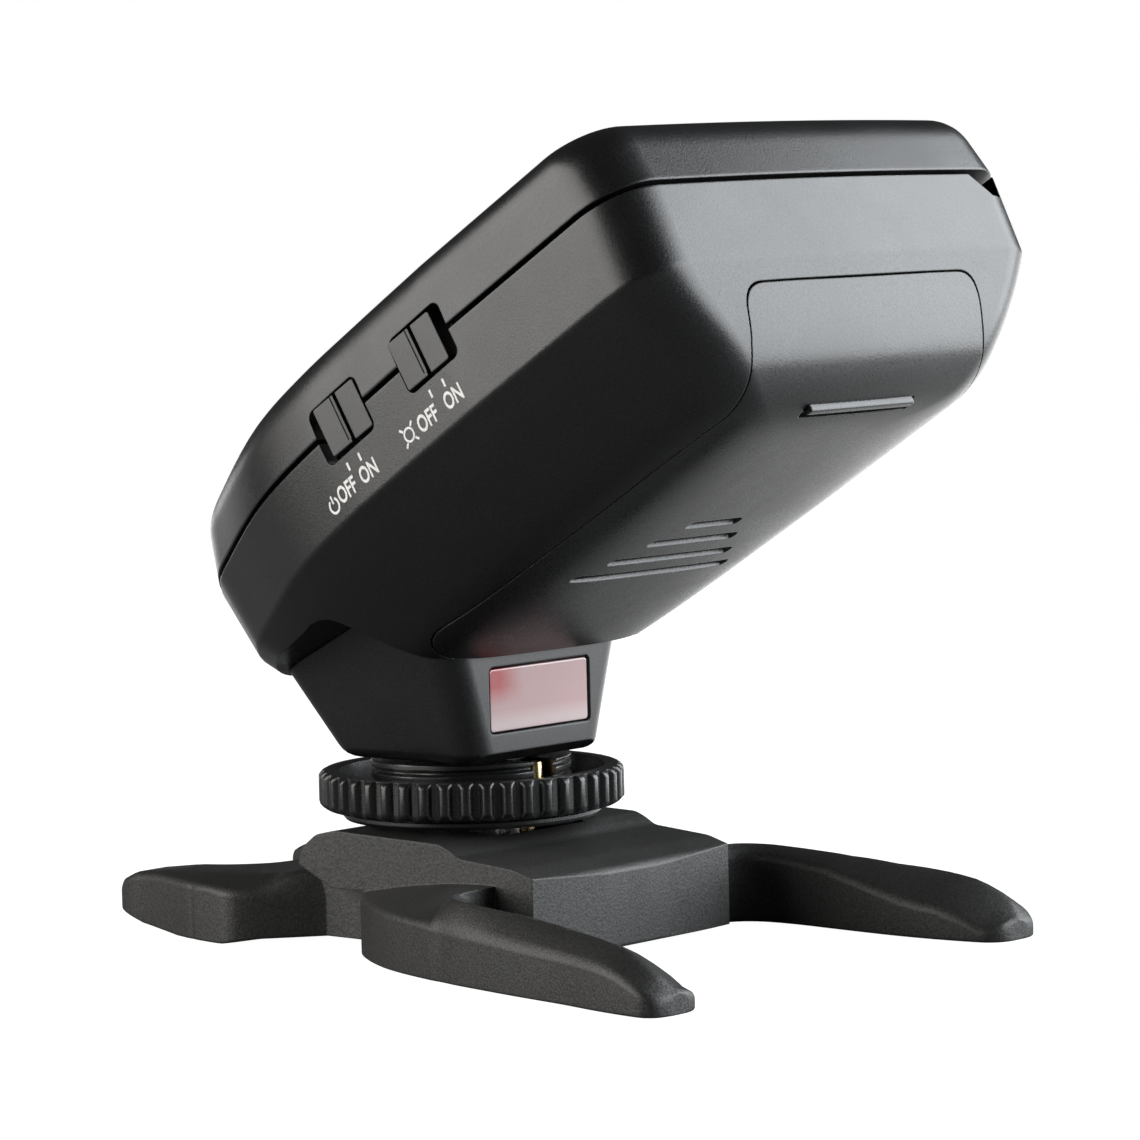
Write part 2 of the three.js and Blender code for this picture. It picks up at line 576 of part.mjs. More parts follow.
function shoeBoss() {
  const turns = 4;
  const pitch = 1.2;
  const low = 13.6;
  const root = 9.9;
  const crest = 10.35;
  const profile = [[0, low]];
  for (let i = 0; i < turns; i++) {
    const z = low + i * pitch;
    profile.push([root, z], [crest, z + 0.35], [crest, z + 0.7], [root, z + 1.05]);
  }
  profile.push([root, NECK_BOTTOM - GAP], [0, NECK_BOTTOM - GAP]);
  const lathe = new THREE.LatheGeometry(profile.map(([r, z]) => new THREE.Vector2(r, z)), 36);
  return solid(lathe.rotateX(Math.PI / 2)).subtract(solid(block(-1.7, 1.7, -12, -6.2, 12, 20)));
}
place(upright, 'shoe_boss', shoeBoss(), neckBlack);

// [x, y, radius] of the middle contact and the row in front of it
const CONTACTS = [[0, 0.6, 1.1], [-4.9, -4.6, 0.8], [-1.7, -4.6, 0.8], [1.7, -4.6, 0.8], [4.9, -4.6, 0.8]];
const LOCK_PIN = { y: -7.5, radius: 0.8 };
function shoeFoot() {
  let foot = solid(prism(roundedRect(-9.3, 9.3, -9, 9, 1, 2), 8.2, 10.2));
  foot = foot.add(solid(rod(0, 0, 6.1, 10.1, 13.3, 28)));
  for (const [x, y, radius] of CONTACTS) foot = foot.subtract(solid(rod(x, y, radius + GAP, 7, 9.9, 12)));
  return foot.subtract(solid(rod(0, LOCK_PIN.y, LOCK_PIN.radius + 0.2, 7, 12, 12)));
}
place(upright, 'shoe_foot', shoeFoot(), steel);
CONTACTS.forEach(([x, y, radius], i) => {
  place(upright, `contact_pin_${i + 1}`, rod(x, y, radius, 8.05, 9.6, 12), brass);
});
place(upright, 'lock_pin', rod(0, LOCK_PIN.y, LOCK_PIN.radius, 7.3, 12.3, 12), brass);

// ---- stand ----
// Side profiles are [y, z]; plans are [x, y] of the left half.
const BLOCK_SIDE = [
  [-22.4, 0.8], [10.2, 0.8], [10.8, 8.6], [10.3, 10], [8.6, 11.5], [6.4, 12.1], [-9.2, 11.7], [-10.6, 11.2],
  [-11.8, 10.4], [-19, 9.7], [-21.6, 8.6], [-22.4, 7.4],
];
const FRONT_LEG = [
  [12, 3.4], [14.4, 2.9], [16.8, 1.2], [18.7, -1.5], [21.7, -6.1], [24.5, -10.9], [27.4, -19.9],
  [28.5, -27.8], [30.2, -38], [31.4, -46], [31, -48.2], [29.8, -48.7], [24.4, -48.7], [23.4, -47.6],
  [23.2, -43.7], [23.5, -29.2], [23, -22.4], [21.8, -18.6], [19.8, -16.8], [17.4, -16.2], [12, -16.4],
];
const REAR_FEET = [
  [12.4, 2], [12.4, 9.2], [15, 12.8], [16.9, 16.6], [17.4, 18.6], [16.7, 27.7], [15.9, 33.8], [14.7, 35.3],
  [12, 35.4], [10.2, 34], [9.4, 31], [8.2, 26], [5.9, 23.7], [3.1, 22],
];
const FRONT_LEG_SIDE = [
  [-49.2, -1], [-48.7, 1.5], [-46, 3.6], [-42, 4.8], [-30, 6.1], [-12, 6.6], [8, 6.4], [8, -1],
];
const REAR_FEET_SIDE = [
  [0, 1], [14, 1], [18, 0], [26, 0], [31, 0.5], [35.4, 1.5], [35.6, 3.6], [34.6, 5.3], [33, 5.9],
  [20, 6.1], [0, 6.3],
];
const SLOT = {
  foot: 9.65, throat: 6.6, floor: 7.85, ceiling: 10.5, stop: -9.5, channel: 1.4, channelFloor: 6.6,
};
const INSERT = { y: -2, bore: 3, radius: 4 };

function standBody() {
  const front = [[-15.2, -21.6], [-12, -22.1], [0, -22.4], [12, -22.1], [15.2, -21.6]];
  const plan = [[15.2, 14], [-15.2, 14], ...front];
  let body = solid(prism(anticlockwise(plan), 0.8, 14)).intersect(solid(sideways(BLOCK_SIDE, -16, 16)));
  const legTop = solid(sideways(anticlockwise(FRONT_LEG_SIDE), -WIDE, WIDE));
  for (const side of [-1, 1]) {
    const leg = anticlockwise(FRONT_LEG.map(([x, y]) => [side * x, y]));
    body = body.add(solid(prism(leg, 0, 8)).intersect(legTop));
  }
  const feet = anticlockwise([...REAR_FEET, ...REAR_FEET.map(([x, y]) => [-x, y]).reverse()]);
  const feetSide = solid(sideways(anticlockwise(REAR_FEET_SIDE), -WIDE, WIDE));
  body = body.add(solid(prism(feet, 0, 8)).intersect(feetSide));
  const { foot, throat, floor, ceiling, stop, channel, channelFloor } = SLOT;
  const cuts = [[foot, floor, ceiling], [throat, floor, 14], [channel, channelFloor, ceiling]];
  for (const [half, z0, z1] of cuts) body = body.subtract(solid(block(-half, half, stop, 20, z0, z1)));
  return body.subtract(solid(rod(0, INSERT.y, INSERT.radius + GAP, -1, 20, 24)));
}
place(upright, 'stand_body', standBody(), neckBlack);
const { bore: insertBore, radius: insertRadius } = INSERT;
const insert = revolve([[insertBore, 0.9], [insertRadius, 0.9], [insertRadius, 6.3], [insertBore, 6.3]], 24);
insert.translate(0, INSERT.y, 0);
place(upright, 'stand_thread_insert', insert, brass);

export default trigger;
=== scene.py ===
"""Looks for a wireless flash trigger that stands in a four-legged mini stand.

The pieces are drawn in millimetres, in the axes that suit them, and then placed in the shared frame.
Upright pieces use X, Y and Z with Y and Z measured from the lock ring's axis and the floor.
Slab pieces use X, -U and W: U runs along the tilted case to its high front end, and W through its
thickness, from the battery side to the screen side.
"""
import json
import math

import bmesh
import bpy
from mathutils import Matrix, Vector
from mathutils.bvhtree import BVHTree

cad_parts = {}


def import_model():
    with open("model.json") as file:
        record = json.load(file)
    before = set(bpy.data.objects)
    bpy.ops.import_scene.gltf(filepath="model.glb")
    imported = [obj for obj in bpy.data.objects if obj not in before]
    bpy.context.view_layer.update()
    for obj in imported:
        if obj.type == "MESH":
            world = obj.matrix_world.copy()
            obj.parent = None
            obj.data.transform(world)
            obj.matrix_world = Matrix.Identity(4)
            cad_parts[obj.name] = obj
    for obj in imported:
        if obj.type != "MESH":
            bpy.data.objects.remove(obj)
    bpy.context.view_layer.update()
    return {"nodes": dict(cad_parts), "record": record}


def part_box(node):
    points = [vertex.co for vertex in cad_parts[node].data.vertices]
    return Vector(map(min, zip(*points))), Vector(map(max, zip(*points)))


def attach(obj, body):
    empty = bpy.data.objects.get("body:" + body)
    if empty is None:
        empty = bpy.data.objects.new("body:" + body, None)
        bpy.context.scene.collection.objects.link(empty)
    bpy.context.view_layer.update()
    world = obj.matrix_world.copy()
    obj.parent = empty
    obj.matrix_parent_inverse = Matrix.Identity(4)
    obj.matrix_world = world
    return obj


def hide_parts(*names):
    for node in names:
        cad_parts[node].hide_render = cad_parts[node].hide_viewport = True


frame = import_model()

# ---- driving dimensions, in millimetres ----
MM = 0.001
TILT = math.radians(31.5)
WALL = 1.6
HALF_WIDTH = 30.8
FRONT = 82
SEAM_W = 41
TOP_W = 48.9
UNDER_W = 19.8
SEAM = 0.46                 # width of the dark line between the case halves
RIM = 0.14                  # rounding of the case halves at that line
FIT = 0.2                   # line round the battery door
FRONT_BOW = 0.4
NECK_BOTTOM = 19
NECK_FRONT = -9.8
RING_RADIUS = 15.8
RIDGES = 45
BESIDE = 40                 # half length of a cutter that passes right through the case
OUTSIDE = 34                # where a cutter from one side starts

# Levels of the case: [w, half width, front u, corner radius, low end u].
LOWER_LEVELS = [
    [19.8, 5, 66.5, 2, 4], [19.83, 9, 69.2, 2.4, 4], [19.95, 12.5, 71.2, 2.8, 4],
    [20.2, 15.4, 72.7, 3.1, 4], [20.65, 17.6, 74.1, 3.4, 4], [21.4, 19.4, 75.3, 3.8, 4],
    [22.4, 20.85, 76.4, 4.2, 3.6], [23.7, 22.3, 77.5, 4.5, 3], [26.7, 25.3, 79.1, 5, 2],
    [29.8, 28.4, 80.1, 5.5, 1], [32.7, 30.75, 81.1, 6, -0.4], [SEAM_W, HALF_WIDTH, FRONT, 6, -1.6],
]
UPPER_LEVELS = [
    [SEAM_W, HALF_WIDTH, FRONT, 6, -1.6], [46.2, 30.45, 81.4, 6, 0.2], [47.6, 29.9, 80.8, 6, 2],
    [48.5, 29, 79.9, 5.6, 4.2], [TOP_W, 27.6, 78.4, 5, 7],
]
# Plan of the sides toward the low end, as (part of the half width, u).
TAPER_START = 55
TAPER = [(1, 55), (0.98, 43), (0.953, 32), (0.885, 22), (0.72, 10.7), (0.6, 4.6), (0.38, -0.5), (0, -1.6)]
# Edge of the scoop beside the neck, as (u, w).
SCOOP = [(25.6, 19.8), (24, 21.2), (22.2, 24.4), (20.9, 27), (19.6, 28.6), (17.3, 29.4), (14, 29.7),
         (5, 30.8)]

# Battery door: it narrows between two values of u, and its front has smaller corners than its plan.
DOOR = {"half": 18.5, "low": 25.2, "top_half": 17.9, "narrowing": (65, 77), "bend": 74,
        "thickness": 1.3, "corner": 4.4, "front_corner": 2.8}
DOOR_AXIS = {"u": 78.95, "w": 29.4, "knuckle": 1.7, "crown": 30.5}
GROOVES = {"u": (51.2, 47.9, 44.5, 41.4), "reach": 4, "widening": 2.65, "half": 0.66, "depth": 0.5}
# Switches: ends of the opening, low end of the knob, and x of its face.
LAMP_SWITCH = {"u0": 48.2, "u1": 56.2, "knob": 48.45, "face": 30.75}
POWER_SWITCH = {"u0": 34.4, "u1": 42.4, "knob": 35.9, "face": 30.2}
SWITCH_W = (38, 44)
KNOB = {"length": 6.3, "height": 5.3}
PORT = {"u0": 56, "u1": 76, "w0": 36.6, "w1": 44.2, "depth": 1.3}
SCREEN = {"x0": -20.5, "x1": 19.5, "u0": 45, "u1": 71.6}
DIAL = {"x": -10.5, "u": 23.5, "radius": 8.6, "height": 1.7}
KEY_TOP = TOP_W + 0.6

# ---- places, from the frame ----
ring_low, ring_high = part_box("lock_ring")
AXIS_Y = (ring_low.y + ring_high.y) / 2
UPRIGHT = Matrix.Translation((0, AXIS_Y, 0)) @ Matrix.Scale(MM, 4)
SLAB = Matrix.Translation((0, AXIS_Y, 0)) @ Matrix.Rotation(-TILT, 4, "X") @ Matrix.Scale(MM, 4)


# ---- outlines ----
def mix(a, b, t):
    return [p + (q - p) * t for p, q in zip(a, b)]


def curve_through(points, steps):
    """Smooth curve through points, with that many steps in each span."""
    ends = [mix(points[1], points[0], 2), *points, mix(points[-2], points[-1], 2)]
    out = []
    for k in range(1, len(ends) - 2):
        a, b, c, d = ends[k - 1:k + 3]
        for i in range(steps):
            t = i / steps
            out.append([
                0.5 * (2 * q + (r - p) * t + (2 * p - 5 * q + 4 * r - s) * t * t
                       + (3 * q - p - 3 * r + s) * t ** 3)
                for p, q, r, s in zip(a, b, c, d)])
    return [*out, list(points[-1])]


def eased(levels, rounds=2):
    """Rounds off the corners of a list of levels and keeps its ends."""
    for _ in range(rounds):
        out = [levels[0]]
        for a, b in zip(levels, levels[1:]):
            out += [mix(a, b, 0.25), mix(a, b, 0.75)]
        levels = [*out, levels[-1]]
    return levels


def at_height(levels, w):
    for a, b in zip(levels, levels[1:]):
        if a[0] <= w <= b[0]:
            return mix(a, b, (w - a[0]) / (b[0] - a[0]))
    return levels[-1]


def anticlockwise(outline):
    area = sum(a[0] * b[1] - b[0] * a[1] for a, b in zip(outline, [*outline[1:], outline[0]]))
    return list(outline) if area > 0 else list(reversed(outline))


def offset(outline, distance):
    """Moves an anticlockwise outline sideways, outwards when the distance is positive."""
    moved = []
    count = len(outline)
    for i, (x, y) in enumerate(outline):
        ax, ay = outline[i - 1]
        bx, by = outline[(i + 1) % count]
        before = Vector((y - ay, ax - x)).normalized()
        after = Vector((by - y, x - bx)).normalized()
        normal = (before + after).normalized()
        reach = distance / max(normal.dot(before), 0.5)
        moved.append([x + normal.x * reach, y + normal.y * reach])
    return moved


def arc(cx, cy, radius, start, end, steps):
    angles = [start + (end - start) * i / steps for i in range(steps + 1)]
    return [[cx + radius * math.cos(a), cy + radius * math.sin(a)] for a in angles]


def rounded_rect(x0, x1, y0, y1, radius, steps=6):
    centres = [(x1 - radius, y1 - radius), (x0 + radius, y1 - radius),
               (x0 + radius, y0 + radius), (x1 - radius, y0 + radius)]
    outline = []
    for k, (cx, cy) in enumerate(centres):
        outline += arc(cx, cy, radius, k * math.pi / 2, (k + 1) * math.pi / 2, steps)
    return outline


def rounded_corners(points, radius, steps=6):
    """Polygon with every corner turned into a curve that starts a radius before it."""
    points = anticlockwise(points)
    out = []
    for i, p in enumerate(points):
        corner = Vector(p)
        before = Vector(points[i - 1]) - corner
        after = Vector(points[(i + 1) % len(points)]) - corner
        reach = min(radius, before.length * 0.45, after.length * 0.45)
        start = corner + before.normalized() * reach
        end = corner + after.normalized() * reach
        for k in range(steps + 1):
            t = k / steps
            out.append(list(start * (1 - t) ** 2 + corner * 2 * t * (1 - t) + end * t * t))
    return out


def circle(cx, cy, radius, count=48):
    return arc(cx, cy, radius, 0, 2 * math.pi * (count - 1) / count, count - 1)


# ---- meshes ----
def as_object(name, bm):
    bmesh.ops.recalc_face_normals(bm, faces=bm.faces)
    mesh = bpy.data.meshes.new(name)
    bm.to_mesh(mesh)
    bm.free()
    obj = bpy.data.objects.new(name, mesh)
    bpy.context.scene.collection.objects.link(obj)
    return obj


def skin(name, rings, loop=False):
    """A closed skin through rings of points, which all have the same count."""
    bm = bmesh.new()
    rows = [[bm.verts.new(p) for p in ring] for ring in rings]
    pairs = list(zip(rows, rows[1:]))
    if loop:
        pairs.append((rows[-1], rows[0]))
    for low, high in pairs:
        for i in range(len(low)):
            j = (i + 1) % len(low)
            bm.faces.new((low[i], low[j], high[j], high[i]))
    if not loop:
        bm.faces.new(list(reversed(rows[0])))
        bm.faces.new(rows[-1])
    return as_object(name, bm)


PLACE = {
    "X": lambda a, b, h: (h, a, b),
    "Y": lambda a, b, h: (a, h, b),
    "Z": lambda a, b, h: (a, b, h),
}


def stack(name, outline, levels, axis="Z"):
    """Prism whose levels are (height along the axis, outwards offset)."""
    outline = anticlockwise(outline)
    point = PLACE[axis]
    return skin(name, [[point(x, y, h) for x, y in offset(outline, grow)] for h, grow in levels])


def prism(name, outline, low, high, axis="Z"):
    return stack(name, outline, [(low, 0), (high, 0)], axis)


def turned(name, profile, count=96, reach=None):
    """A ring about Z from a closed (radius, z) profile, whose radii reach(level, angle, r) may change."""
    rings = []
    for level, (radius, z) in enumerate(profile):
        ring = []
        for i in range(count):
            angle = 2 * math.pi * i / count
            r = reach(level, angle, radius) if reach else radius
            ring.append((r * math.cos(angle), r * math.sin(angle), z))
        rings.append(ring)
    return skin(name, rings, loop=True)


def freeze(obj):
    """Applies the object's modifiers to its mesh."""
    bpy.context.view_layer.update()
    graph = bpy.context.evaluated_depsgraph_get()
    mesh = bpy.data.meshes.new_from_object(obj.evaluated_get(graph))
    obj.modifiers.clear()
    old = obj.data
    obj.data = mesh
    bpy.data.meshes.remove(old)
    return obj


def carve(obj, cutter, operation="DIFFERENCE"):
    """Cuts, joins or keeps the common part of two closed meshes; the second one is used up."""
    step = obj.modifiers.new("carve", "BOOLEAN")
    step.operation = operation
    step.solver = "MANIFOLD"
    step.object = cutter
    freeze(obj)
    mesh = cutter.data
    bpy.data.objects.remove(cutter)
    bpy.data.meshes.remove(mesh)
    return obj


def bevelled(obj, width, angle):
    step = obj.modifiers.new("bevel", "BEVEL")
    step.width = width
    step.segments = 3
    step.limit_method = "ANGLE"
    step.angle_limit = math.radians(angle)
    step.use_clamp_overlap = True
    return freeze(obj)


def tidied(obj):
    """Drops slivers and doubled points that a cut may leave."""
    bm = bmesh.new()
    bm.from_mesh(obj.data)
    bmesh.ops.remove_doubles(bm, verts=bm.verts, dist=1e-4)
    bmesh.ops.dissolve_degenerate(bm, edges=bm.edges, dist=1e-4)
    bm.to_mesh(obj.data)
    bm.free()
    return obj


def finished(obj, matrix, body, slot, replaces=(), looks=None, angle=35):
    """Places a drawn piece, shades it, gives it its slot's looks or its own, and hands it to its body."""
    tidied(obj)
    obj.data.transform(matrix)
    obj.data.shade_smooth()
    obj.data.set_sharp_from_angle(angle=math.radians(angle))
    even = obj.modifiers.new("even normals", "WEIGHTED_NORMAL")
    even.keep_sharp = True
    obj.data.materials.clear()
    obj.data.materials.append(looks or SLOT_LOOKS[slot])
    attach(obj, body)
    if replaces:
        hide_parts(*replaces)
    return obj


# ---- materials ----
class Nodes:
    """Small helper that adds and links shader nodes."""

    def __init__(self, name):
        self.material = bpy.data.materials.new(name)
        self.material.use_nodes = True
        self.tree = self.material.node_tree
        self.shader = self.tree.nodes["Principled BSDF"]

    def add(self, kind, inputs=None, **settings):
        node = self.tree.nodes.new(kind)
        for key, value in settings.items():
            setattr(node, key, value)
        for key, value in (inputs or {}).items():
            self.put(node.inputs[key], value)
        return node

    def put(self, socket, value):
        """Links a value that comes from a node, and sets any other."""
        if isinstance(value, bpy.types.NodeSocket):
            self.tree.links.new(value, socket)
        else:
            socket.default_value = value

    def feed(self, name, value):
        self.put(self.shader.inputs[name], value)

    def place(self):
        return self.add("ShaderNodeTexCoord").outputs["Object"]

    def noise(self, scale, detail=3, roughness=0.55):
        node = self.add("ShaderNodeTexNoise", {
            "Vector": self.place(), "Scale": scale, "Detail": detail, "Roughness": roughness})
        return node.outputs["Fac"]

    def between(self, factor, low, high, start=0.0, end=1.0):
        node = self.add("ShaderNodeMapRange", {
            "Value": factor, "From Min": start, "From Max": end, "To Min": low, "To Max": high})
        return node.outputs["Result"]

    def sum(self, a, b):
        return self.add("ShaderNodeMath", {0: a, 1: b}, operation="ADD").outputs[0]

    def product(self, a, b):
        return self.add("ShaderNodeMath", {0: a, 1: b}, operation="MULTIPLY").outputs[0]

    def tint(self, factor, low, high):
        node = self.add("ShaderNodeMix", {"Factor": factor}, data_type="RGBA")
        for key, value in ((6, low), (7, high)):
            self.put(node.inputs[key], value if isinstance(value, bpy.types.NodeSocket) else (*value, 1))
        return node.outputs[2]

    def edges(self, radius):
        """Rounded normal, and how far the surface turns from it: 0 on flat parts, 1 on edges."""
        soft = self.add("ShaderNodeBevel", {"Radius": radius}, samples=4).outputs["Normal"]
        own = self.add("ShaderNodeNewGeometry").outputs["Normal"]
        dot = self.add("ShaderNodeVectorMath", {0: soft, 1: own}, operation="DOT_PRODUCT")
        return soft, self.between(dot.outputs["Value"], 1.0, 0.0, 0.82, 0.995)

    def relief(self, height, strength, distance, normal=None):
        inputs = {"Height": height, "Strength": strength, "Distance": distance}
        if normal is not None:
            inputs["Normal"] = normal
        return self.add("ShaderNodeBump", inputs).outputs["Normal"]


def moulded(name, colour, roughness, grain=0.2, depth=0.012, strength=0.5, edge=0.16, wear_and_highlight=0.5,
            specular=0.5, speckle=0.2):
    """Moulded black plastic: fine grain, faint mottling, and edges rubbed a little smoother, and paler,
    partly as wear and partly as a painted highlight along the edges.
    """
    n = Nodes(name)
    soft, worn_and_highlit_edges = n.edges(edge * MM)
    fine = n.noise(1 / (grain * MM), 2, 0.6)
    broad = n.noise(1 / (9 * MM), 4, 0.6)
    # paler edges: partly wear, partly a painted highlight line along edges, seams and holes
    paler = [c * (1 + 0.5 * wear_and_highlight) + 0.02 * wear_and_highlight for c in colour]
    darker = [c * 0.86 for c in colour]
    mottled = n.tint(n.between(broad, 0, 1, 0.35, 0.65), darker, colour)
    n.feed("Base Color", n.tint(n.between(worn_and_highlit_edges, 0, wear_and_highlight), mottled, paler))
    grainy = n.between(fine, roughness - 0.05, roughness + 0.05, 0.3, 0.7)
    smudged = n.sum(grainy, n.between(broad, -0.03, 0.03, 0.3, 0.7))
    n.feed("Roughness", n.sum(smudged, n.between(worn_and_highlit_edges, 0, -0.1 * wear_and_highlight)))
    dull, bright = specular * (1 - speckle), specular * (1 + speckle)
    n.feed("Specular IOR Level", n.between(fine, dull, bright, 0.3, 0.7))
    n.feed("Normal", n.relief(fine, strength, depth * MM, soft))
    return n.material


def metal(name, colour, roughness):
    """Plated or brushed metal with fine scratches along X."""
    n = Nodes(name)
    soft, _ = n.edges(0.1 * MM)
    stretched = n.add("ShaderNodeMapping", {"Vector": n.place(), "Scale": (0.12, 1, 1)}).outputs["Vector"]
    scratches = n.add("ShaderNodeTexNoise", {
        "Vector": stretched, "Scale": 1 / (0.12 * MM), "Detail": 3}).outputs["Fac"]
    tarnish = n.noise(1 / (2.5 * MM), 4)
    n.feed("Base Color", n.tint(n.between(tarnish, 0, 1, 0.35, 0.7), [c * 0.78 for c in colour], colour))
    n.feed("Metallic", 1.0)
    n.feed("Roughness", n.between(scratches, roughness - 0.08, roughness + 0.1, 0.3, 0.7))
    n.feed("Normal", n.relief(scratches, 0.25, 0.004 * MM, soft))
    return n.material


def printed(name):
    """White screen-printed ink, a little uneven."""
    n = Nodes(name)
    patchy = n.noise(1 / (0.25 * MM), 3)
    n.feed("Base Color", n.tint(n.between(patchy, 0, 1, 0.3, 0.6), (0.62, 0.62, 0.6), (0.86, 0.86, 0.85)))
    n.feed("Roughness", n.between(patchy, 0.45, 0.6))
    n.feed("Normal", n.relief(patchy, 0.3, 0.006 * MM))
    return n.material


def red_window():
    """Tinted window: clear red in its upper left, and pale pink elsewhere, a painted reflection haze."""
    n = Nodes("red_window")
    low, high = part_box("af_window")
    axes = n.add("ShaderNodeSeparateXYZ", {"Vector": n.place()})
    across = n.between(axes.outputs["X"], 0, 1, low.x, high.x)
    upward = n.between(axes.outputs["Z"], 0, 1, low.z, high.z)
    waver = n.between(n.noise(1 / (3 * MM), 2), -0.08, 0.08)
    left = n.between(n.sum(across, waver), 1, 0, 0.1, 0.34)
    above = n.between(upward, 0, 1, 0.4, 0.72)
    patch = n.product(left, above)
    # painted reflection haze: outside the clear red patch the window is pale pink, palest toward the
    # bottom
    rim = n.between(upward, 1, 0, 0.12, 0.34)
    painted_reflection_haze = n.tint(rim, (0.42, 0.27, 0.27), (0.48, 0.38, 0.38))
    n.feed("Base Color", n.tint(patch, painted_reflection_haze, (0.36, 0.045, 0.05)))
    n.feed("Roughness", n.between(n.noise(1 / (1.2 * MM)), 0.1, 0.2))
    n.feed("Coat Weight", 0.6)
    n.feed("Coat Roughness", 0.05)
    n.feed("Normal", n.relief(n.noise(1 / (2.2 * MM), 1), 0.12, 0.02 * MM))
    return n.material


def screen_panel():
    """Grey-green liquid-crystal panel with a fine cell pattern."""
    n = Nodes("screen_panel_looks")
    cells = n.add("ShaderNodeTexChecker", {"Vector": n.place(), "Scale": 1 / (0.25 * MM)}).outputs["Fac"]
    broad = n.noise(1 / (14 * MM), 2)
    base = n.tint(n.between(broad, 0, 1, 0.3, 0.7), (0.21, 0.25, 0.2), (0.27, 0.31, 0.25))
    n.feed("Base Color", n.tint(n.between(cells, 0, 0.12), base, (0.12, 0.14, 0.12)))
    n.feed("Roughness", n.between(broad, 0.3, 0.45))
    n.feed("Normal", n.relief(cells, 0.05, 0.01 * MM))
    return n.material


def glass():
    n = Nodes("screen_window")
    smear = n.noise(1 / (8 * MM), 4)
    n.feed("Base Color", n.tint(smear, (0.55, 0.58, 0.6), (0.7, 0.72, 0.74)))
    n.feed("Transmission Weight", 0.92)
    n.feed("IOR", 1.49)
    n.feed("Roughness", n.between(smear, 0.02, 0.09, 0.35, 0.75))
    n.feed("Normal", n.relief(smear, 0.05, 0.01 * MM))
    return n.material


def circuit_board():
    n = Nodes("solder_mask")
    tracks = n.add("ShaderNodeTexBrick", {
        "Vector": n.place(), "Scale": 1 / (3 * MM), "Mortar Size": 0.04, "Mortar": (0.05, 0.2, 0.08, 1),
        "Color1": (0.02, 0.12, 0.05, 1), "Color2": (0.015, 0.09, 0.04, 1)})
    n.feed("Base Color", tracks.outputs["Color"])
    n.feed("Roughness", n.between(n.noise(1 / (2 * MM)), 0.3, 0.5))
    n.feed("Normal", n.relief(tracks.outputs["Fac"], 0.4, 0.03 * MM))
    return n.material


def cell_wrap():
    """Printed battery sleeve: plain blue-grey with a paler band at one end."""
    n = Nodes("cell_sleeve")
    low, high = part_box("battery_cell_right")
    axes = n.add("ShaderNodeSeparateXYZ", {"Vector": n.place()})
    height = high.z - low.z
    band = n.between(axes.outputs["Z"], 0, 1, low.z + 0.30 * height, low.z + 0.32 * height)
    broad = n.noise(1 / (5 * MM))
    blue = n.tint(broad, (0.1, 0.17, 0.27), (0.14, 0.22, 0.33))
    n.feed("Base Color", n.tint(band, blue, (0.45, 0.46, 0.47)))
    n.feed("Roughness", n.between(broad, 0.25, 0.4))
    n.feed("Normal", n.relief(n.noise(1 / (0.4 * MM)), 0.1, 0.01 * MM))
    return n.material


def enamel(name, colour):
    n = Nodes(name)
    broad = n.noise(1 / (1.5 * MM))
    n.feed("Base Color", n.tint(broad, [c * 0.9 for c in colour], colour))
    n.feed("Roughness", n.between(broad, 0.18, 0.32))
    n.feed("Normal", n.relief(broad, 0.1, 0.01 * MM))
    return n.material


BLACK = (0.0095, 0.0095, 0.0099)
knob_looks = moulded("knob_plastic_looks", BLACK, 0.36, grain=0.2, depth=0.016)
ink = printed("white_ink")
SLOT_LOOKS = {
    "case_plastic": moulded("case_plastic_looks", BLACK, 0.33, grain=0.2, depth=0.03, wear_and_highlight=0.8),
    "door_plastic": moulded("door_plastic_looks", (0.0095, 0.0095, 0.01), 0.3, grain=0.22, depth=0.03,
                            wear_and_highlight=0.8, speckle=0.16),
    "dark_plastic": moulded("neck_plastic_looks", (0.008, 0.008, 0.0084), 0.33, grain=0.18, depth=0.008,
                            edge=0.2),
    "ring_plastic": moulded("ring_plastic_looks", (0.009, 0.009, 0.0094), 0.3, grain=0.15, depth=0.004,
                            edge=0.12),
    "stand_plastic": moulded("stand_plastic_looks", (0.022, 0.0216, 0.021), 0.5, grain=0.26, depth=0.045,
                             strength=0.8, speckle=0.4, edge=0.25, wear_and_highlight=0.8),
    "key_rubber": moulded("key_rubber_looks", (0.032, 0.033, 0.035), 0.6, grain=0.12, depth=0.006,
                          wear_and_highlight=0.3, specular=0.35),
    "dial_plastic": moulded("dial_plastic_looks", (0.02, 0.02, 0.021), 0.4, grain=0.15, depth=0.004),
    "flap_rubber": moulded("flap_rubber_looks", (0.01, 0.01, 0.0105), 0.68, grain=0.16, depth=0.008,
                           specular=0.3),
    "screen_glass": glass(),
    "screen_panel": screen_panel(),
    "window_red": red_window(),
    "reflector_white": enamel("lamp_white", (0.75, 0.75, 0.72)),
    "steel": metal("plated_steel", (0.56, 0.57, 0.58), 0.3),
    "brass": metal("plated_brass", (0.74, 0.56, 0.28), 0.26),
    "circuit_board": circuit_board(),
    "cell_wrap": cell_wrap(),
}
for row in frame["record"]["subparts"]:
    node = frame["nodes"][row["node"]]
    node.data.materials.clear()
    node.data.materials.append(SLOT_LOOKS[row["material_slot"]])


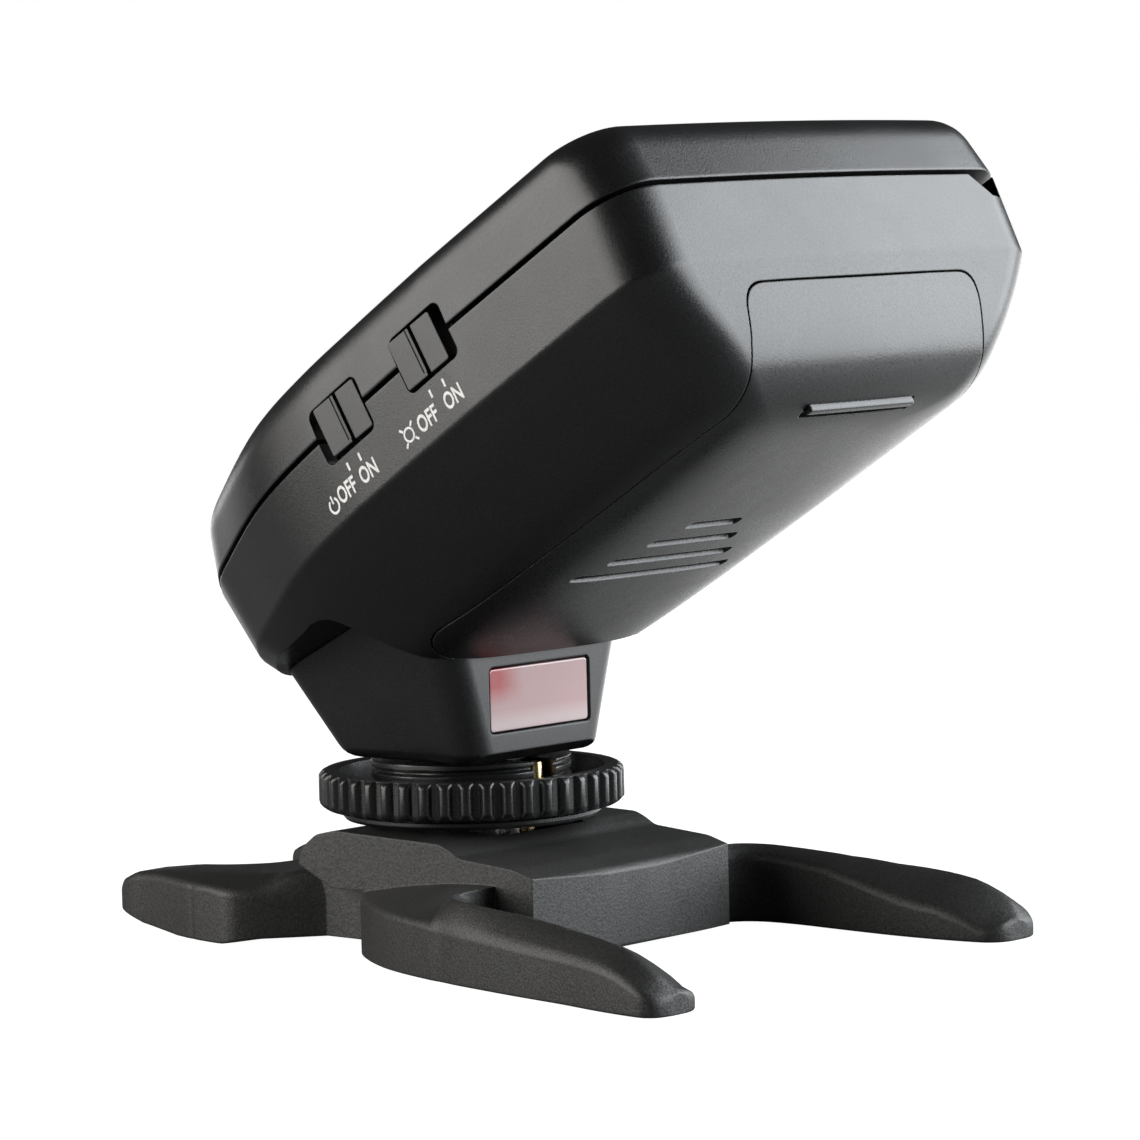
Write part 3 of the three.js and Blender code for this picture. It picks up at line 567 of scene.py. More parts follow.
# ---- case ----
def case_outline(half, front, corner, end):
    """Plan of the case at one level: bowed front, round corners, sides that draw in to the low end."""
    side = [[t / 5 * (half - corner), front - FRONT_BOW * (t / 5) ** 2] for t in range(5)]
    side += arc(half - corner, front - FRONT_BOW - corner, corner, math.pi / 2, 0, 12)
    low = TAPER[-1][1]
    taper = [(k * half, u + (TAPER_START - u) / (TAPER_START - low) * (end - low)) for k, u in TAPER]
    side += curve_through(taper, 8)
    mirrored = [[-x, u] for x, u in reversed(side[1:-1])]
    return anticlockwise([[x, -u] for x, u in side + mirrored])


def case_body(name, levels):
    rings = []
    for w, half, front, corner, end, *inset in levels:
        outline = case_outline(half, front, corner, end)
        if inset:
            outline = offset(outline, -inset[0])
        rings.append([(x, y, w) for x, y in outline])
    return skin(name, rings)


def pulled_in(levels, wall):
    """Levels moved in by a wall, square to the case's profile."""
    moved = []
    for i, level in enumerate(levels):
        before = levels[max(i - 1, 0)]
        after = levels[min(i + 1, len(levels) - 1)]
        run = (after[1] - before[1] + after[2] - before[2]) / 2
        square = Vector((after[0] - before[0], run)).normalized()
        moved.append([level[0] + wall * square.y, *level[1:5], wall * square.x])
    return moved


def with_support(levels, *heights):
    """Adds levels on the straight stretches, so that a corner between them rounds off tightly."""
    return sorted(levels + [at_height(levels, w) for w in heights])


def rounded_over(levels, w, toward):
    """Levels beside a cut at w, drawn in at the cut; toward is 1 where they lie above it and -1 below."""
    steps = ((0, 1), (0.3, 0.3), (1, 0))
    return [[*at_height(levels, w + toward * RIM * away), RIM * inset] for away, inset in steps]


def stopped(levels, w):
    """Levels cut off at a height, with the rim rounded over."""
    return [level for level in levels if level[0] < w - RIM] + rounded_over(levels, w, -1)[::-1]


def started(levels, w):
    return rounded_over(levels, w, 1) + [level for level in levels if level[0] > w + RIM]


LOWER = eased(with_support(LOWER_LEVELS, 32.1, 33.4))
UPPER = eased(with_support(UPPER_LEVELS, 44))


def scoop(grow):
    """Space of the neck and the air behind it, under the case's low end, grown by a wall."""
    edge = [[-(u + grow), w + grow] for u, w in curve_through(SCOOP, 4)]
    outline = [[-(27 + grow), 12], [12, 12], [12, 31.6 + grow], *reversed(edge)]
    return prism("scoop", outline, -BESIDE, BESIDE, "X")


def bar(name, x0, x1, u0, u1, w0, w1, radius):
    """A bar along X with a rounded section."""
    return prism(name, rounded_rect(-u1, -u0, w0, w1, radius), x0, x1, "X")


def side_holes(obj):
    for switch in (LAMP_SWITCH, POWER_SWITCH):
        carve(obj, bar("hole", -OUTSIDE, -27.5, switch["u0"], switch["u1"], *SWITCH_W, 0.9))
    # recess of the port cover, and the opening behind it
    carve(obj, bar("hole", HALF_WIDTH - PORT["depth"], OUTSIDE, PORT["u0"] - 0.2, PORT["u1"] + 0.2,
                   PORT["w0"] - 0.2, PORT["w1"] + 0.2, 1.5))
    carve(obj, bar("hole", 24, OUTSIDE, PORT["u0"] + 2.5, PORT["u1"] - 2.2, 37.6, 43.2, 1))
    return obj


def door_plan(grow):
    half, top_half = DOOR["half"], DOOR["top_half"]
    wide_to, narrow_from = DOOR["narrowing"]
    side = [(half, DOOR["low"]), (half, wide_to), (top_half, narrow_from), (top_half, 90)]
    outline = [(x, -u) for x, u in side] + [(-x, -u) for x, u in reversed(side)]
    return offset(rounded_corners(outline, DOOR["corner"]), grow)


def hinge_round(grow):
    """Round bar about the hinge axis, longer than the door is wide."""
    section = circle(-DOOR_AXIS["u"], DOOR_AXIS["w"], DOOR_AXIS["knuckle"] + grow, 64)
    return prism("hinge_round", section, -30, 30, "X")


def door_space(grow):
    """The part of the case that the door takes: its plan, its round-cornered front and the hinge."""
    space = prism("door_space", door_plan(grow), 12, DOOR_AXIS["w"])
    carve(space, hinge_round(grow), "UNION")
    top = DOOR_AXIS["crown"] + grow
    half = DOOR["top_half"] + grow
    corners = [(-half, 10), (half, 10), (half, top), (-half, top)]
    face = rounded_corners(corners, DOOR["front_corner"], 8)
    front = prism("door_front", face, -95, -DOOR["bend"], "Y")
    below = [(-BESIDE, 10), (BESIDE, 10), (BESIDE, 25.5), (-BESIDE, 25.5)]
    rest = prism("door_rest", below, -95, 0, "Y")
    carve(front, rest, "UNION")
    return carve(space, front, "INTERSECT")


def lower_shell():
    outside = case_body("case_lower", stopped(LOWER, SEAM_W - SEAM / 2))
    inner = pulled_in(LOWER, WALL)
    inner[-1][0] += 2
    cavity = carve(case_body("cavity", inner), scoop(WALL + 0.1))
    body = carve(outside, cavity)
    carve(body, scoop(0.04))
    carve(body, door_space(FIT))
    side_holes(body)
    # small notch under the seam, at the front corner of the port side
    notch = [(22.3, 41.6), (22.7, 40.7), (24.9, 38.9), (25.5, 38.4), (27.5, 38.3), (27.7, 41.6)]
    carve(body, prism("notch", notch, -86, -78.6, "Y"))
    return finished(body, SLAB, "trigger", "case_plastic", ["lower_shell"])


def key_outlines():
    """Name, outline and height of each key on the screen side."""
    keys = []
    for i in range(5):
        u = SCREEN["u1"] - 2.7 - i * 5.35
        outline = rounded_rect(21.9, 26.6, -u - 1.9, -u + 1.9, 0.9)
        keys.append((f"group_button_{i + 1}", outline, KEY_TOP))
    for i in range(4):
        x = 14.5 - i * 10
        outline = rounded_rect(x - 3.6, x + 3.6, -41.3, -37.4, 1.2)
        keys.append((f"function_button_{i + 1}", outline, KEY_TOP))
    keys.append(("mode_button", rounded_rect(6.4, 12.4, -32, -28.2, 1.5), KEY_TOP))
    keys.append(("zoom_button", rounded_rect(15.6, 21.6, -32, -28.2, 1.5), KEY_TOP))
    keys.append(("test_button", circle(12.6, -20, 4.1), KEY_TOP + 0.2))
    return keys


def upper_cover():
    outside = case_body("case_upper", started(UPPER, SEAM_W + SEAM / 2))
    inner = pulled_in(UPPER, WALL)
    inner[0][0] -= 2
    body = carve(outside, case_body("cavity", inner))
    side_holes(body)
    x0, x1, u0, u1 = SCREEN["x0"], SCREEN["x1"], SCREEN["u0"], SCREEN["u1"]
    carve(body, prism("hole", rounded_rect(x0 - 0.15, x1 + 0.15, -u1 - 0.15, -u0 + 0.15, 1.5), 44, 52))
    for _, outline, _ in key_outlines():
        carve(body, prism("hole", offset(anticlockwise(outline), 0.2), 44, 52))
    carve(body, prism("hole", circle(DIAL["x"], -DIAL["u"], 8.2, 64), 44, 52))
    carve(body, prism("hole", circle(3, -25, 1.05, 24), 44, 52))
    return finished(body, SLAB, "trigger", "case_plastic", ["upper_cover"])


def battery_door():
    inner = pulled_in(LOWER, DOOR["thickness"])
    inner[-1][0] += 2
    door = carve(case_body("door", LOWER), case_body("cavity", inner))
    carve(door, door_space(0), "INTERSECT")
    # above the hinge axis only the round hinge is left, cut flush with the case
    axis_w = DOOR_AXIS["w"]
    upper_part = [(-90, axis_w), (-60, axis_w), (-60, 60), (-90, 60)]
    above = prism("above", upper_part, -BESIDE, BESIDE, "X")
    knuckle = carve(hinge_round(0), case_body("case", LOWER), "INTERSECT")
    carve(knuckle, door_space(0), "INTERSECT")
    carve(door, above)
    carve(door, knuckle, "UNION")
    # finger ridge in its own shallow slot, and the stair of grooves
    slot_plan = rounded_rect(-8.5, 8.5, -73.72, -71.9, 0.5)
    carve(door, stack("ridge_slot", slot_plan, [(19, 0), (20.75, 0)]))
    ridge = rounded_rect(-8.2, 8.2, -73.66, -72.7, 0.4)
    ridge_levels = [(19.88, -0.25), (19.93, -0.1), (20.05, -0.02), (20.2, 0), (22.6, 0)]
    carve(door, stack("ridge", ridge, ridge_levels), "UNION")
    groove_floor = UNDER_W + GROOVES["depth"]
    groove_levels = [(19, 0.2), (UNDER_W, 0.04), (groove_floor - 0.1, -0.1), (groove_floor, -0.25)]
    for i, u in enumerate(GROOVES["u"]):
        reach = GROOVES["reach"] + i * GROOVES["widening"]
        half = GROOVES["half"]
        plan = rounded_rect(-reach, reach, -u - half, -u + half, half - 0.02)
        carve(door, stack("groove", plan, groove_levels))
    return finished(door, SLAB, "battery_door_panel", "door_plastic", ["battery_door"])


case_lower = lower_shell()
upper_cover()
battery_door()


# ---- side switches and their printed marks ----
def switch_knob(name, switch):
    u0 = switch["knob"]
    length, height, face = KNOB["length"], KNOB["height"], switch["face"]
    middle = sum(SWITCH_W) / 2
    outline = rounded_rect(-u0 - length, -u0, middle - height / 2, middle + height / 2, 0.3)
    levels = [(-face, -0.14), (-face + 0.05, -0.04), (-face + 0.16, 0), (-28.2, 0)]
    knob = stack(name, outline, levels, "X")
    y = -(u0 + length * 0.53)
    groove = [(y - 0.26, 30), (y + 0.26, 30), (y + 0.26, 50), (y - 0.26, 50)]
    carve(knob, prism("groove", groove, -face - 1, -face + 1.1, "X"))
    # the low half is a shade lower next to the groove, which leaves a fine step line
    step = [(y + 0.2, middle - 2.2), (y + 0.66, middle - 2.2), (y + 0.66, 50), (y + 0.2, 50)]
    carve(knob, prism("step", step, -face - 1, -face + 0.1, "X"))
    low, high = middle - 1.2, middle + 1.2
    foot = [(y - 1, low), (y + 1, low), (y + 1, high), (y - 1, high)]
    return carve(knob, prism("foot", foot, -28.3, -27.6, "X"), "UNION")


for label, switch in (("lamp", LAMP_SWITCH), ("power", POWER_SWITCH)):
    finished(switch_knob(f"{label}_knob_cap", switch), SLAB, f"{label}_knob", "dark_plastic",
             [f"{label}_switch_knob"], knob_looks)

INK_THICKNESS = 0.03
CONDENSED = 0.74            # width of the letters for their height
surface = BVHTree.FromObject(case_lower, bpy.context.evaluated_depsgraph_get())
SLAB_BACK = SLAB.inverted()


def on_side(u, w):
    """Point on the case's switch side, in slab millimetres."""
    start = SLAB @ Vector((-BESIDE, -u, w))
    hit = surface.ray_cast(start, Vector((1, 0, 0)))[0]
    return SLAB_BACK @ hit


def side_print(name, bm):
    """Lays a flat (u, w) mesh of printed ink on the switch side and gives it a little thickness."""
    bmesh.ops.triangulate(bm, faces=bm.faces)
    for v in bm.verts:
        hit = on_side(v.co.x, v.co.y)
        v.co = Vector((hit.x - INK_THICKNESS, -v.co.x, v.co.y))
    faces = list(bm.faces)
    grown = bmesh.ops.extrude_face_region(bm, geom=faces)["geom"]
    for item in grown:
        if isinstance(item, bmesh.types.BMVert):
            item.co.x += 2 * INK_THICKNESS
    return finished(as_object(name, bm), SLAB, "trigger", "case_plastic", looks=ink)


def word(name, text, u, w, height):
    """Plain block letters centred on a spot of the switch side."""
    curve = bpy.data.curves.new(name, "FONT")
    curve.body = text
    curve.align_x = "CENTER"
    curve.align_y = "CENTER"
    curve.offset = 0.022
    curve.resolution_u = 4
    holder = bpy.data.objects.new(name + "_curve", curve)
    bpy.context.scene.collection.objects.link(holder)
    bpy.context.view_layer.update()
    graph = bpy.context.evaluated_depsgraph_get()
    mesh = bpy.data.meshes.new_from_object(holder.evaluated_get(graph))
    bpy.data.objects.remove(holder)
    bpy.data.curves.remove(curve)
    bm = bmesh.new()
    bm.from_mesh(mesh)
    bpy.data.meshes.remove(mesh)
    xs = [v.co.x for v in bm.verts]
    ys = [v.co.y for v in bm.verts]
    middle = ((min(xs) + max(xs)) / 2, (min(ys) + max(ys)) / 2)
    scale = height / (max(ys) - min(ys))
    for v in bm.verts:
        v.co.x = u + (v.co.x - middle[0]) * scale * CONDENSED
        v.co.y = w + (v.co.y - middle[1]) * scale
    bmesh.ops.remove_doubles(bm, verts=bm.verts, dist=1e-4)
    return side_print(name, bm)


def flat_shapes(name, shapes):
    """Printed mark made of filled outlines and of rings given as (outer, inner) pairs."""
    bm = bmesh.new()
    for outer, inner in shapes:
        rim = [bm.verts.new((x, y, 0)) for x, y in outer]
        if inner is None:
            bm.faces.new(rim)
            continue
        hole = [bm.verts.new((x, y, 0)) for x, y in inner]
        for i in range(len(rim) - 1):
            bm.faces.new((rim[i], rim[i + 1], hole[i + 1], hole[i]))
    return side_print(name, bm)


def stroke(u0, w0, u1, w1, half):
    along = Vector((u1 - u0, w1 - w0)).normalized() * half
    across = Vector((-along.y, along.x))
    a, b = Vector((u0, w0)), Vector((u1, w1))
    return [list(p) for p in (a + across, a - across, b - across, b + across)], None


def ring_stroke(u, w, radius, half, start=0, end=2 * math.pi, steps=32):
    return arc(u, w, radius + half, start, end, steps), arc(u, w, radius - half, start, end, steps)


LETTER = 1.75
LETTER_W = 35.1
TICK = (36.4, 37.25)
STROKE = 0.14
for label, u_off, u_on in (("power", 35.25, 38.95), ("lamp", 48.95, 53.1)):
    word(f"{label}_off_print", "OFF", u_off, LETTER_W, LETTER)
    word(f"{label}_on_print", "ON", u_on, LETTER_W, LETTER)
for label, places in (("power", (36.8, 38.75)), ("lamp", (50.7, 52.8))):
    flat_shapes(f"{label}_ticks_print", [stroke(u, TICK[0], u, TICK[1], STROKE) for u in places])
# power symbol: a ring open at the top with a stroke in the gap
u, gap = 32.7, math.radians(32)
flat_shapes("power_symbol_print", [
    ring_stroke(u, 34.75, 0.72, 0.13, math.pi / 2 + gap, math.pi * 2.5 - gap),
    stroke(u, 34.95, u, 35.8, 0.12)])
# lamp symbol: a ring with four slanting rays
u, w = 45.9, LETTER_W
rays = []
for turn in (math.pi / 4 + k * math.pi / 2 for k in range(4)):
    across, upward = math.cos(turn), math.sin(turn)
    rays.append(stroke(u + 0.85 * across, w + 0.85 * upward, u + 1.4 * across, w + 1.4 * upward, 0.12))
flat_shapes("lamp_symbol_print", [ring_stroke(u, w, 0.66, 0.11), *rays])


# ---- screen side ----
def dished_key(name, outline, top):
    outline = anticlockwise(outline)
    levels = [(45.4, 0.4), (46.8, 0.4), (46.8, 0), (top - 0.45, 0), (top - 0.22, -0.05),
              (top - 0.06, -0.2), (top, -0.42), (top - 0.03, -0.64), (top - 0.06, -0.86)]
    return stack(name + "_cap", outline, levels)


for key_name, key_outline, key_top in key_outlines():
    body = "key_" + key_name.replace("_button", "")
    finished(dished_key(key_name, key_outline, key_top), SLAB, body, "key_rubber", [key_name])


def dial():
    radius, top = DIAL["radius"], TOP_W + DIAL["height"]
    profile = [(5.3, 47.6), (8, 47.6), (8, TOP_W + 0.25), (radius - 0.1, TOP_W + 0.25),
               (radius, TOP_W + 0.4), (radius, top - 0.5), (radius - 0.15, top - 0.2), (radius - 0.5, top),
               (7.2, top), (6.9, top - 0.15), (5.5, top - 0.15), (5.3, top - 0.3)]

    def knurl(level, angle, r):
        if level not in (4, 5, 6):
            return r
        return r - 0.32 * max(0.0, math.cos(angle * 24)) ** 2
    ring = turned("dial_ring", profile, 24 * 10, knurl)
    ring.data.transform(Matrix.Translation((DIAL["x"], -DIAL["u"], 0)))
    return finished(ring, SLAB, "dial", "dial_plastic", ["select_dial"])


dial()
top = KEY_TOP + 1.1
set_levels = [(45.4, -2.6), (47.2, -2.6), (47.2, 0), (top - 0.5, 0), (top - 0.2, -0.08),
              (top - 0.05, -0.25), (top, -0.5), (top - 0.05, -1.2), (top - 0.12, -2.4)]
set_cap = stack("set_cap", circle(DIAL["x"], -DIAL["u"], 4.9, 64), set_levels)
finished(set_cap, SLAB, "key_set", "key_rubber", ["set_button"])


def screen_window():
    outline = rounded_rect(SCREEN["x0"], SCREEN["x1"], -SCREEN["u1"], -SCREEN["u0"], 1.4)
    pane = stack("screen_pane", outline, [(47.6, 0), (48.66, 0), (48.78, -0.05), (48.85, -0.18)])
    return finished(pane, SLAB, "trigger", "screen_glass", ["lcd_window"])


def screen_mask():
    """Black printed border on the back of the window, round the liquid-crystal area."""
    x0, x1, u0, u1 = SCREEN["x0"], SCREEN["x1"], SCREEN["u0"], SCREEN["u1"]
    outline = rounded_rect(x0 + 0.1, x1 - 0.1, -u1 + 0.1, -u0 - 0.1, 1.3)
    border = prism("screen_border", outline, 47.42, 47.55)
    carve(border, prism("hole", rounded_rect(x0 + 3, x1 - 3, -u1 + 2.2, -u0 - 2.2, 0.6), 46, 49))
    return finished(border, SLAB, "trigger", "screen_panel", looks=SLOT_LOOKS["dark_plastic"])


screen_window()
screen_mask()


# ---- ports ----
def port_flap():
    outer = HALF_WIDTH - 0.05
    outline = rounded_rect(-PORT["u1"], -PORT["u0"], PORT["w0"], PORT["w1"], 1.3)
    x0 = HALF_WIDTH - PORT["depth"] + 0.3
    levels = [(x0, 0), (outer - 0.25, 0), (outer - 0.08, -0.08), (outer, -0.25)]
    flap = stack("port_flap", outline, levels, "X")
    grip = rounded_rect(-PORT["u1"] + 0.9, -PORT["u1"] + 1.9, 38.4, 42.4, 0.45)
    grip_levels = [(outer - 0.3, 0), (outer + 0.1, 0), (outer + 0.25, -0.15)]
    return carve(flap, stack("grip", grip, grip_levels, "X"), "UNION")


finished(port_flap(), SLAB, "flap", "flap_rubber", ["port_cover"])


# ---- neck, window and shoe ----
def neck_housing():
    spans = [(19, 10.2, 9.9), (27.7, 12.8, 15.2), (38, 16, 21.8)]
    heights = [(19, 1.1), (19.1, 0.7), (19.35, 0.3), (19.75, 0.07), (20.2, 0), (23, 0), (27.7, 0), (33, 0),
               (38, 0)]

    def neck_ring(z, inset):
        _, half, rear = at_height([list(s) for s in spans], z)
        outline = rounded_rect(-half, half, NECK_FRONT, rear, 3.3, 12)
        return [(x, y, z) for x, y in offset(outline, -inset)]
    neck = skin("neck", [neck_ring(z, inset) for z, inset in heights])
    carve(neck, skin("hollow", [neck_ring(z, WALL) for z in (NECK_BOTTOM + WALL, 27.7, 38)]))
    under = scoop(0)
    under.data.transform(Matrix.Rotation(-TILT, 4, "X"))
    carve(neck, under, "INTERSECT")
    front = NECK_FRONT
    levels = [(front - 1, 0.5), (front + 0.02, 0.12), (front + 0.14, 0), (front + 2.4, 0)]
    opening = stack("opening", rounded_rect(-7.62, 7.62, 22.08, 28.77, 0.5), levels, "Y")
    carve(neck, opening)
    return finished(neck, UPRIGHT, "trigger", "dark_plastic", ["neck_housing"])


def window_pane():
    face = NECK_FRONT + 0.12
    pane = stack("window_pane", rounded_rect(-7.5, 7.5, 22.2, 28.65, 0.45), [
        (face, -0.22), (face + 0.04, -0.08), (face + 0.16, 0), (NECK_FRONT + 1.2, 0)], "Y")
    return finished(pane, UPRIGHT, "trigger", "window_red", ["af_window"])


def lock_ring():
    rim = RING_RADIUS
    profile = [(10.75, 13.65), (rim - 0.95, 13.62), (rim - 0.75, 13.66), (rim - 0.35, 13.9),
               (rim - 0.04, 14.25), (rim, 14.4), (rim, 16.95), (rim - 0.05, 17.12), (rim - 0.3, 17.42),
               (rim - 0.6, 17.56), (rim - 0.8, 17.58), (13.9, 17.58), (13.7, 17.45), (13.5, 15.1),
               (13.3, 14.9), (10.75, 14.9)]

    def ridge(level, angle, r):
        if not 3 <= level <= 8:
            return r
        phase = (angle * RIDGES / (2 * math.pi)) % 1
        rise = min(1.0, abs(phase - 0.5) / 0.33)
        return min(r, rim - 0.62 * rise ** 3)
    ring = turned("ring", profile, RIDGES * 14, ridge)
    return finished(ring, UPRIGHT, "ring", "ring_plastic", ["lock_ring"], angle=40)


def clamp_plate():
    profile = [(10.7, 12.45), (12.7, 12.45), (13.1, 12.55), (13.35, 12.85), (13.35, 13.2), (13.25, 13.3),
               (10.7, 13.3)]
    plate = turned("clamp", profile)
    tab = rounded_rect(-1.2, 1.2, -11.2, -6.7, 0.4)
    carve(plate, prism("tab", tab, 12.6, 13.25), "UNION")
    return finished(plate, UPRIGHT, "clamp", "ring_plastic", ["clamp_plate"])


def threaded_boss():
    """Boss under the neck with a real helical thread, notched at the front for the lock pin."""
    low, high, pitch, root, crest = 13.6, 18.7, 1.2, 9.85, 10.35
    rows, count = 64, 96
    rings = []
    for k in range(rows + 1):
        z = low + (high - low) * k / rows
        ring = []
        for i in range(count):
            angle = 2 * math.pi * i / count
            phase = ((z - low) / pitch - i / count) % 1
            tooth = min(1.0, max(0.0, 2.2 - abs(phase - 0.5) * 5.2))
            r = root + (crest - root) * tooth
            ring.append((r * math.cos(angle), r * math.sin(angle), z))
        rings.append(ring)
    boss = skin("boss", rings)
    notch = [(-1.7, -12), (1.7, -12), (1.7, -6.2), (-1.7, -6.2)]
    carve(boss, prism("notch", notch, 12, 20))
    return finished(boss, UPRIGHT, "trigger", "ring_plastic", ["shoe_boss"])


def guide_pin():
    """Bright pin in the boss's notch, which shows above the ring."""
    profile = [(0.04, 14.9), (0.62, 14.9), (0.7, 15.0), (0.7, 18.3), (0.62, 18.45), (0.04, 18.5)]
    pin = turned("guide_pin", profile, 32)
    pin.data.transform(Matrix.Translation((0.3, -8.6, 0)))
    return finished(pin, UPRIGHT, "trigger", "brass")


neck_housing()
window_pane()
lock_ring()
clamp_plate()
threaded_boss()
guide_pin()


# ---- stand ----
# The shoe block seen from the side, as (y, z).
BLOCK_SIDE = [(-22.4, 0.8), (10.1, 0.8), (10.5, 8.6), (9.8, 10.2), (7.9, 11.6), (5.4, 12.15),
              (-9.2, 11.75), (-10.6, 11.2), (-11.8, 10.5), (-19, 9.9), (-21.8, 9.1), (-22.4, 8.5)]
# One half of the stand in plan, as (y, inner x, outer x) from the tip to the root.
FRONT_LEG = [(-50, 25.4, 28.1), (-49.7, 24.3, 29.5), (-49, 23.4, 30.3), (-47.5, 22.7, 30.6),
             (-42.5, 22, 30), (-37, 21.8, 28.9), (-30, 22.1, 27.8), (-25.1, 22.4, 26.9), (-21, 22.2, 26.1),
             (-18.7, 21.3, 25.5), (-17.4, 19.8, 25.25), (-16.7, 17.6, 25.1), (-16.3, 12, 25),
             (-12.5, 12, 23.9), (-8.4, 12, 22.4), (-4.6, 12, 20.4), (-2, 12, 18.7), (-0.4, 12, 17.5),
             (0.7, 12, 16.4), (1.6, 12, 15), (2.1, 12, 13.6)]
REAR_FOOT = [(4, 0, 12.2), (7.4, 0, 12.4), (8.8, 0, 13.2), (11, 0, 15.2), (13.4, 0, 17.3), (15, 0, 18.6),
             (16.3, 0, 19.4), (17.8, 0, 19.6), (21.5, 0, 19.1), (22.6, 4.2, 18.8), (23.7, 6.2, 18.6),
             (27, 8.4, 17.6), (32, 9.6, 16.2), (35, 10.2, 15.6), (36.8, 10.9, 15), (37.7, 11.8, 14.3),
             (38, 12.4, 13.6)]
# Height of the outer edge of each leg, and of the rear foot's underside, as (y, z).
FRONT_TOP = [(-50, 1.4), (-48.6, 2.2), (-46.5, 3.2), (-44.5, 3.9), (-42, 4.3), (-37, 4.6), (-30, 4.9),
             (-24, 5.2), (-15, 5.6), (-7, 5.8), (3, 6.1)]
REAR_TOP = [(4, 5.5), (14, 5.4), (20, 5.9), (30, 6), (34.5, 5.6), (36.8, 4.8), (38, 3.7)]
REAR_UNDER = [(4, 0.9), (14, 0.6), (18, 0), (26, 0), (33, 0.5), (38, 1.6)]
# How far the crown and the inner edge of a leg rise over its outer edge.
FRONT_CROWN = [(-50, 0.7), (-48, 1.4), (-44, 1.8), (-38, 2.1), (-30, 2.5), (-20, 2.6), (-15, 2.5),
               (-9.6, 2.1), (-4.4, 1.3), (-0.5, 0.5), (2.1, 0)]
FRONT_INNER = [(-50, 0.1), (-47, 0.5), (-43, 0.8), (-38, 0.8), (-30, 1.1), (-22, 1.5), (-16, 1.5),
               (-15, 2.3), (2.1, 0)]
REAR_CROWN = [(4, 2.2), (10, 2.4), (14, 1.6), (20, 0.7), (30, 0.3), (38, 0.1)]
LEVEL = [(-60, 0), (60, 0)]
# Underside of the block's flanks over the waist between leg and foot.
WAIST = [(1.4, -1), (1.4, 6.3), (5.8, 6.2), (10.3, 8.3), (13, 9), (13, -1)]
WAIST_HALF = 13.1
# Shoe slot: half widths of the foot, its throat and the pin's channel, their heights and the front stop.
SLOT = {"foot": 9.65, "throat": 6.6, "floor": 7.85, "ceiling": 10.5, "stop": -9.5,
        "channel": 1.4, "channel_floor": 6.6}


def along(table, y):
    """Value of a (y, value, ...) table at y."""
    return at_height([list(row) for row in table], max(table[0][0], min(table[-1][0], y)))[1:]


def limb(name, plan, tops, unders, edge, crowns, inners=LEVEL):
    """A leg as sections square to Y, with a crowned top and rounded edges."""
    rows = []
    smooth = curve_through(plan, 4)
    stations = sorted({round(y, 3) for y, *_ in smooth})
    for y in stations:
        if not plan[0][0] <= y <= plan[-1][0]:
            continue
        inner, outer = along(smooth, y)
        top = along(tops, y)[0]
        under = along(unders, y)[0]
        crown = along(crowns, y)[0]
        inner_rise = along(inners, y)[0]
        wide = outer - inner
        upper = min(edge, wide * 0.25, (top - under) * 0.4)
        lower = min(0.3, upper)
        # the crest runs near the outer edge of the free leg and swings in over the block at the root
        blend = max(0.0, min(1.0, (y + 21) / 11))
        crest = 2.7 + (max(outer - 15.2, 1) - 2.7) * blend * blend * (3 - 2 * blend)
        if inner > 15:
            crest = min(crest, wide / 2)

        def roof(x):
            back = max((outer - x) / crest, 0)
            if back <= 1:
                return top + crown * back * (1.3 - 0.3 * back)
            if inner < 15:
                return top + crown
            fall = (back - 1) * (0.6 + 0.4 * (back - 1))
            return top + crown + (inner_rise - crown) * fall
        outline = arc(outer - lower, under + lower, lower, -math.pi / 2, 0, 3)
        outer_edge = arc(outer - upper, top - upper, upper, 0, math.pi / 2, 6)
        outline += [(x, z + roof(x) - top) for x, z in outer_edge]
        flat = [outer - upper - (wide - 2 * upper) * k / 12 for k in range(1, 12)]
        outline += [(x, roof(x)) for x in flat]
        inner_edge = arc(inner + upper, top - upper, upper, math.pi / 2, math.pi, 6)
        outline += [(x, z + roof(x) - top) for x, z in inner_edge]
        outline += arc(inner + lower, under + lower, lower, math.pi, 1.5 * math.pi, 3)
        rows.append([(x, y, z) for x, z in outline])
    return skin(name, rows)


def mirrored_x(obj, name):
    mesh = obj.data.copy()
    mesh.transform(Matrix.Scale(-1, 4, (1, 0, 0)))
    mesh.flip_normals()
    other = bpy.data.objects.new(name, mesh)
    bpy.context.scene.collection.objects.link(other)
    return other


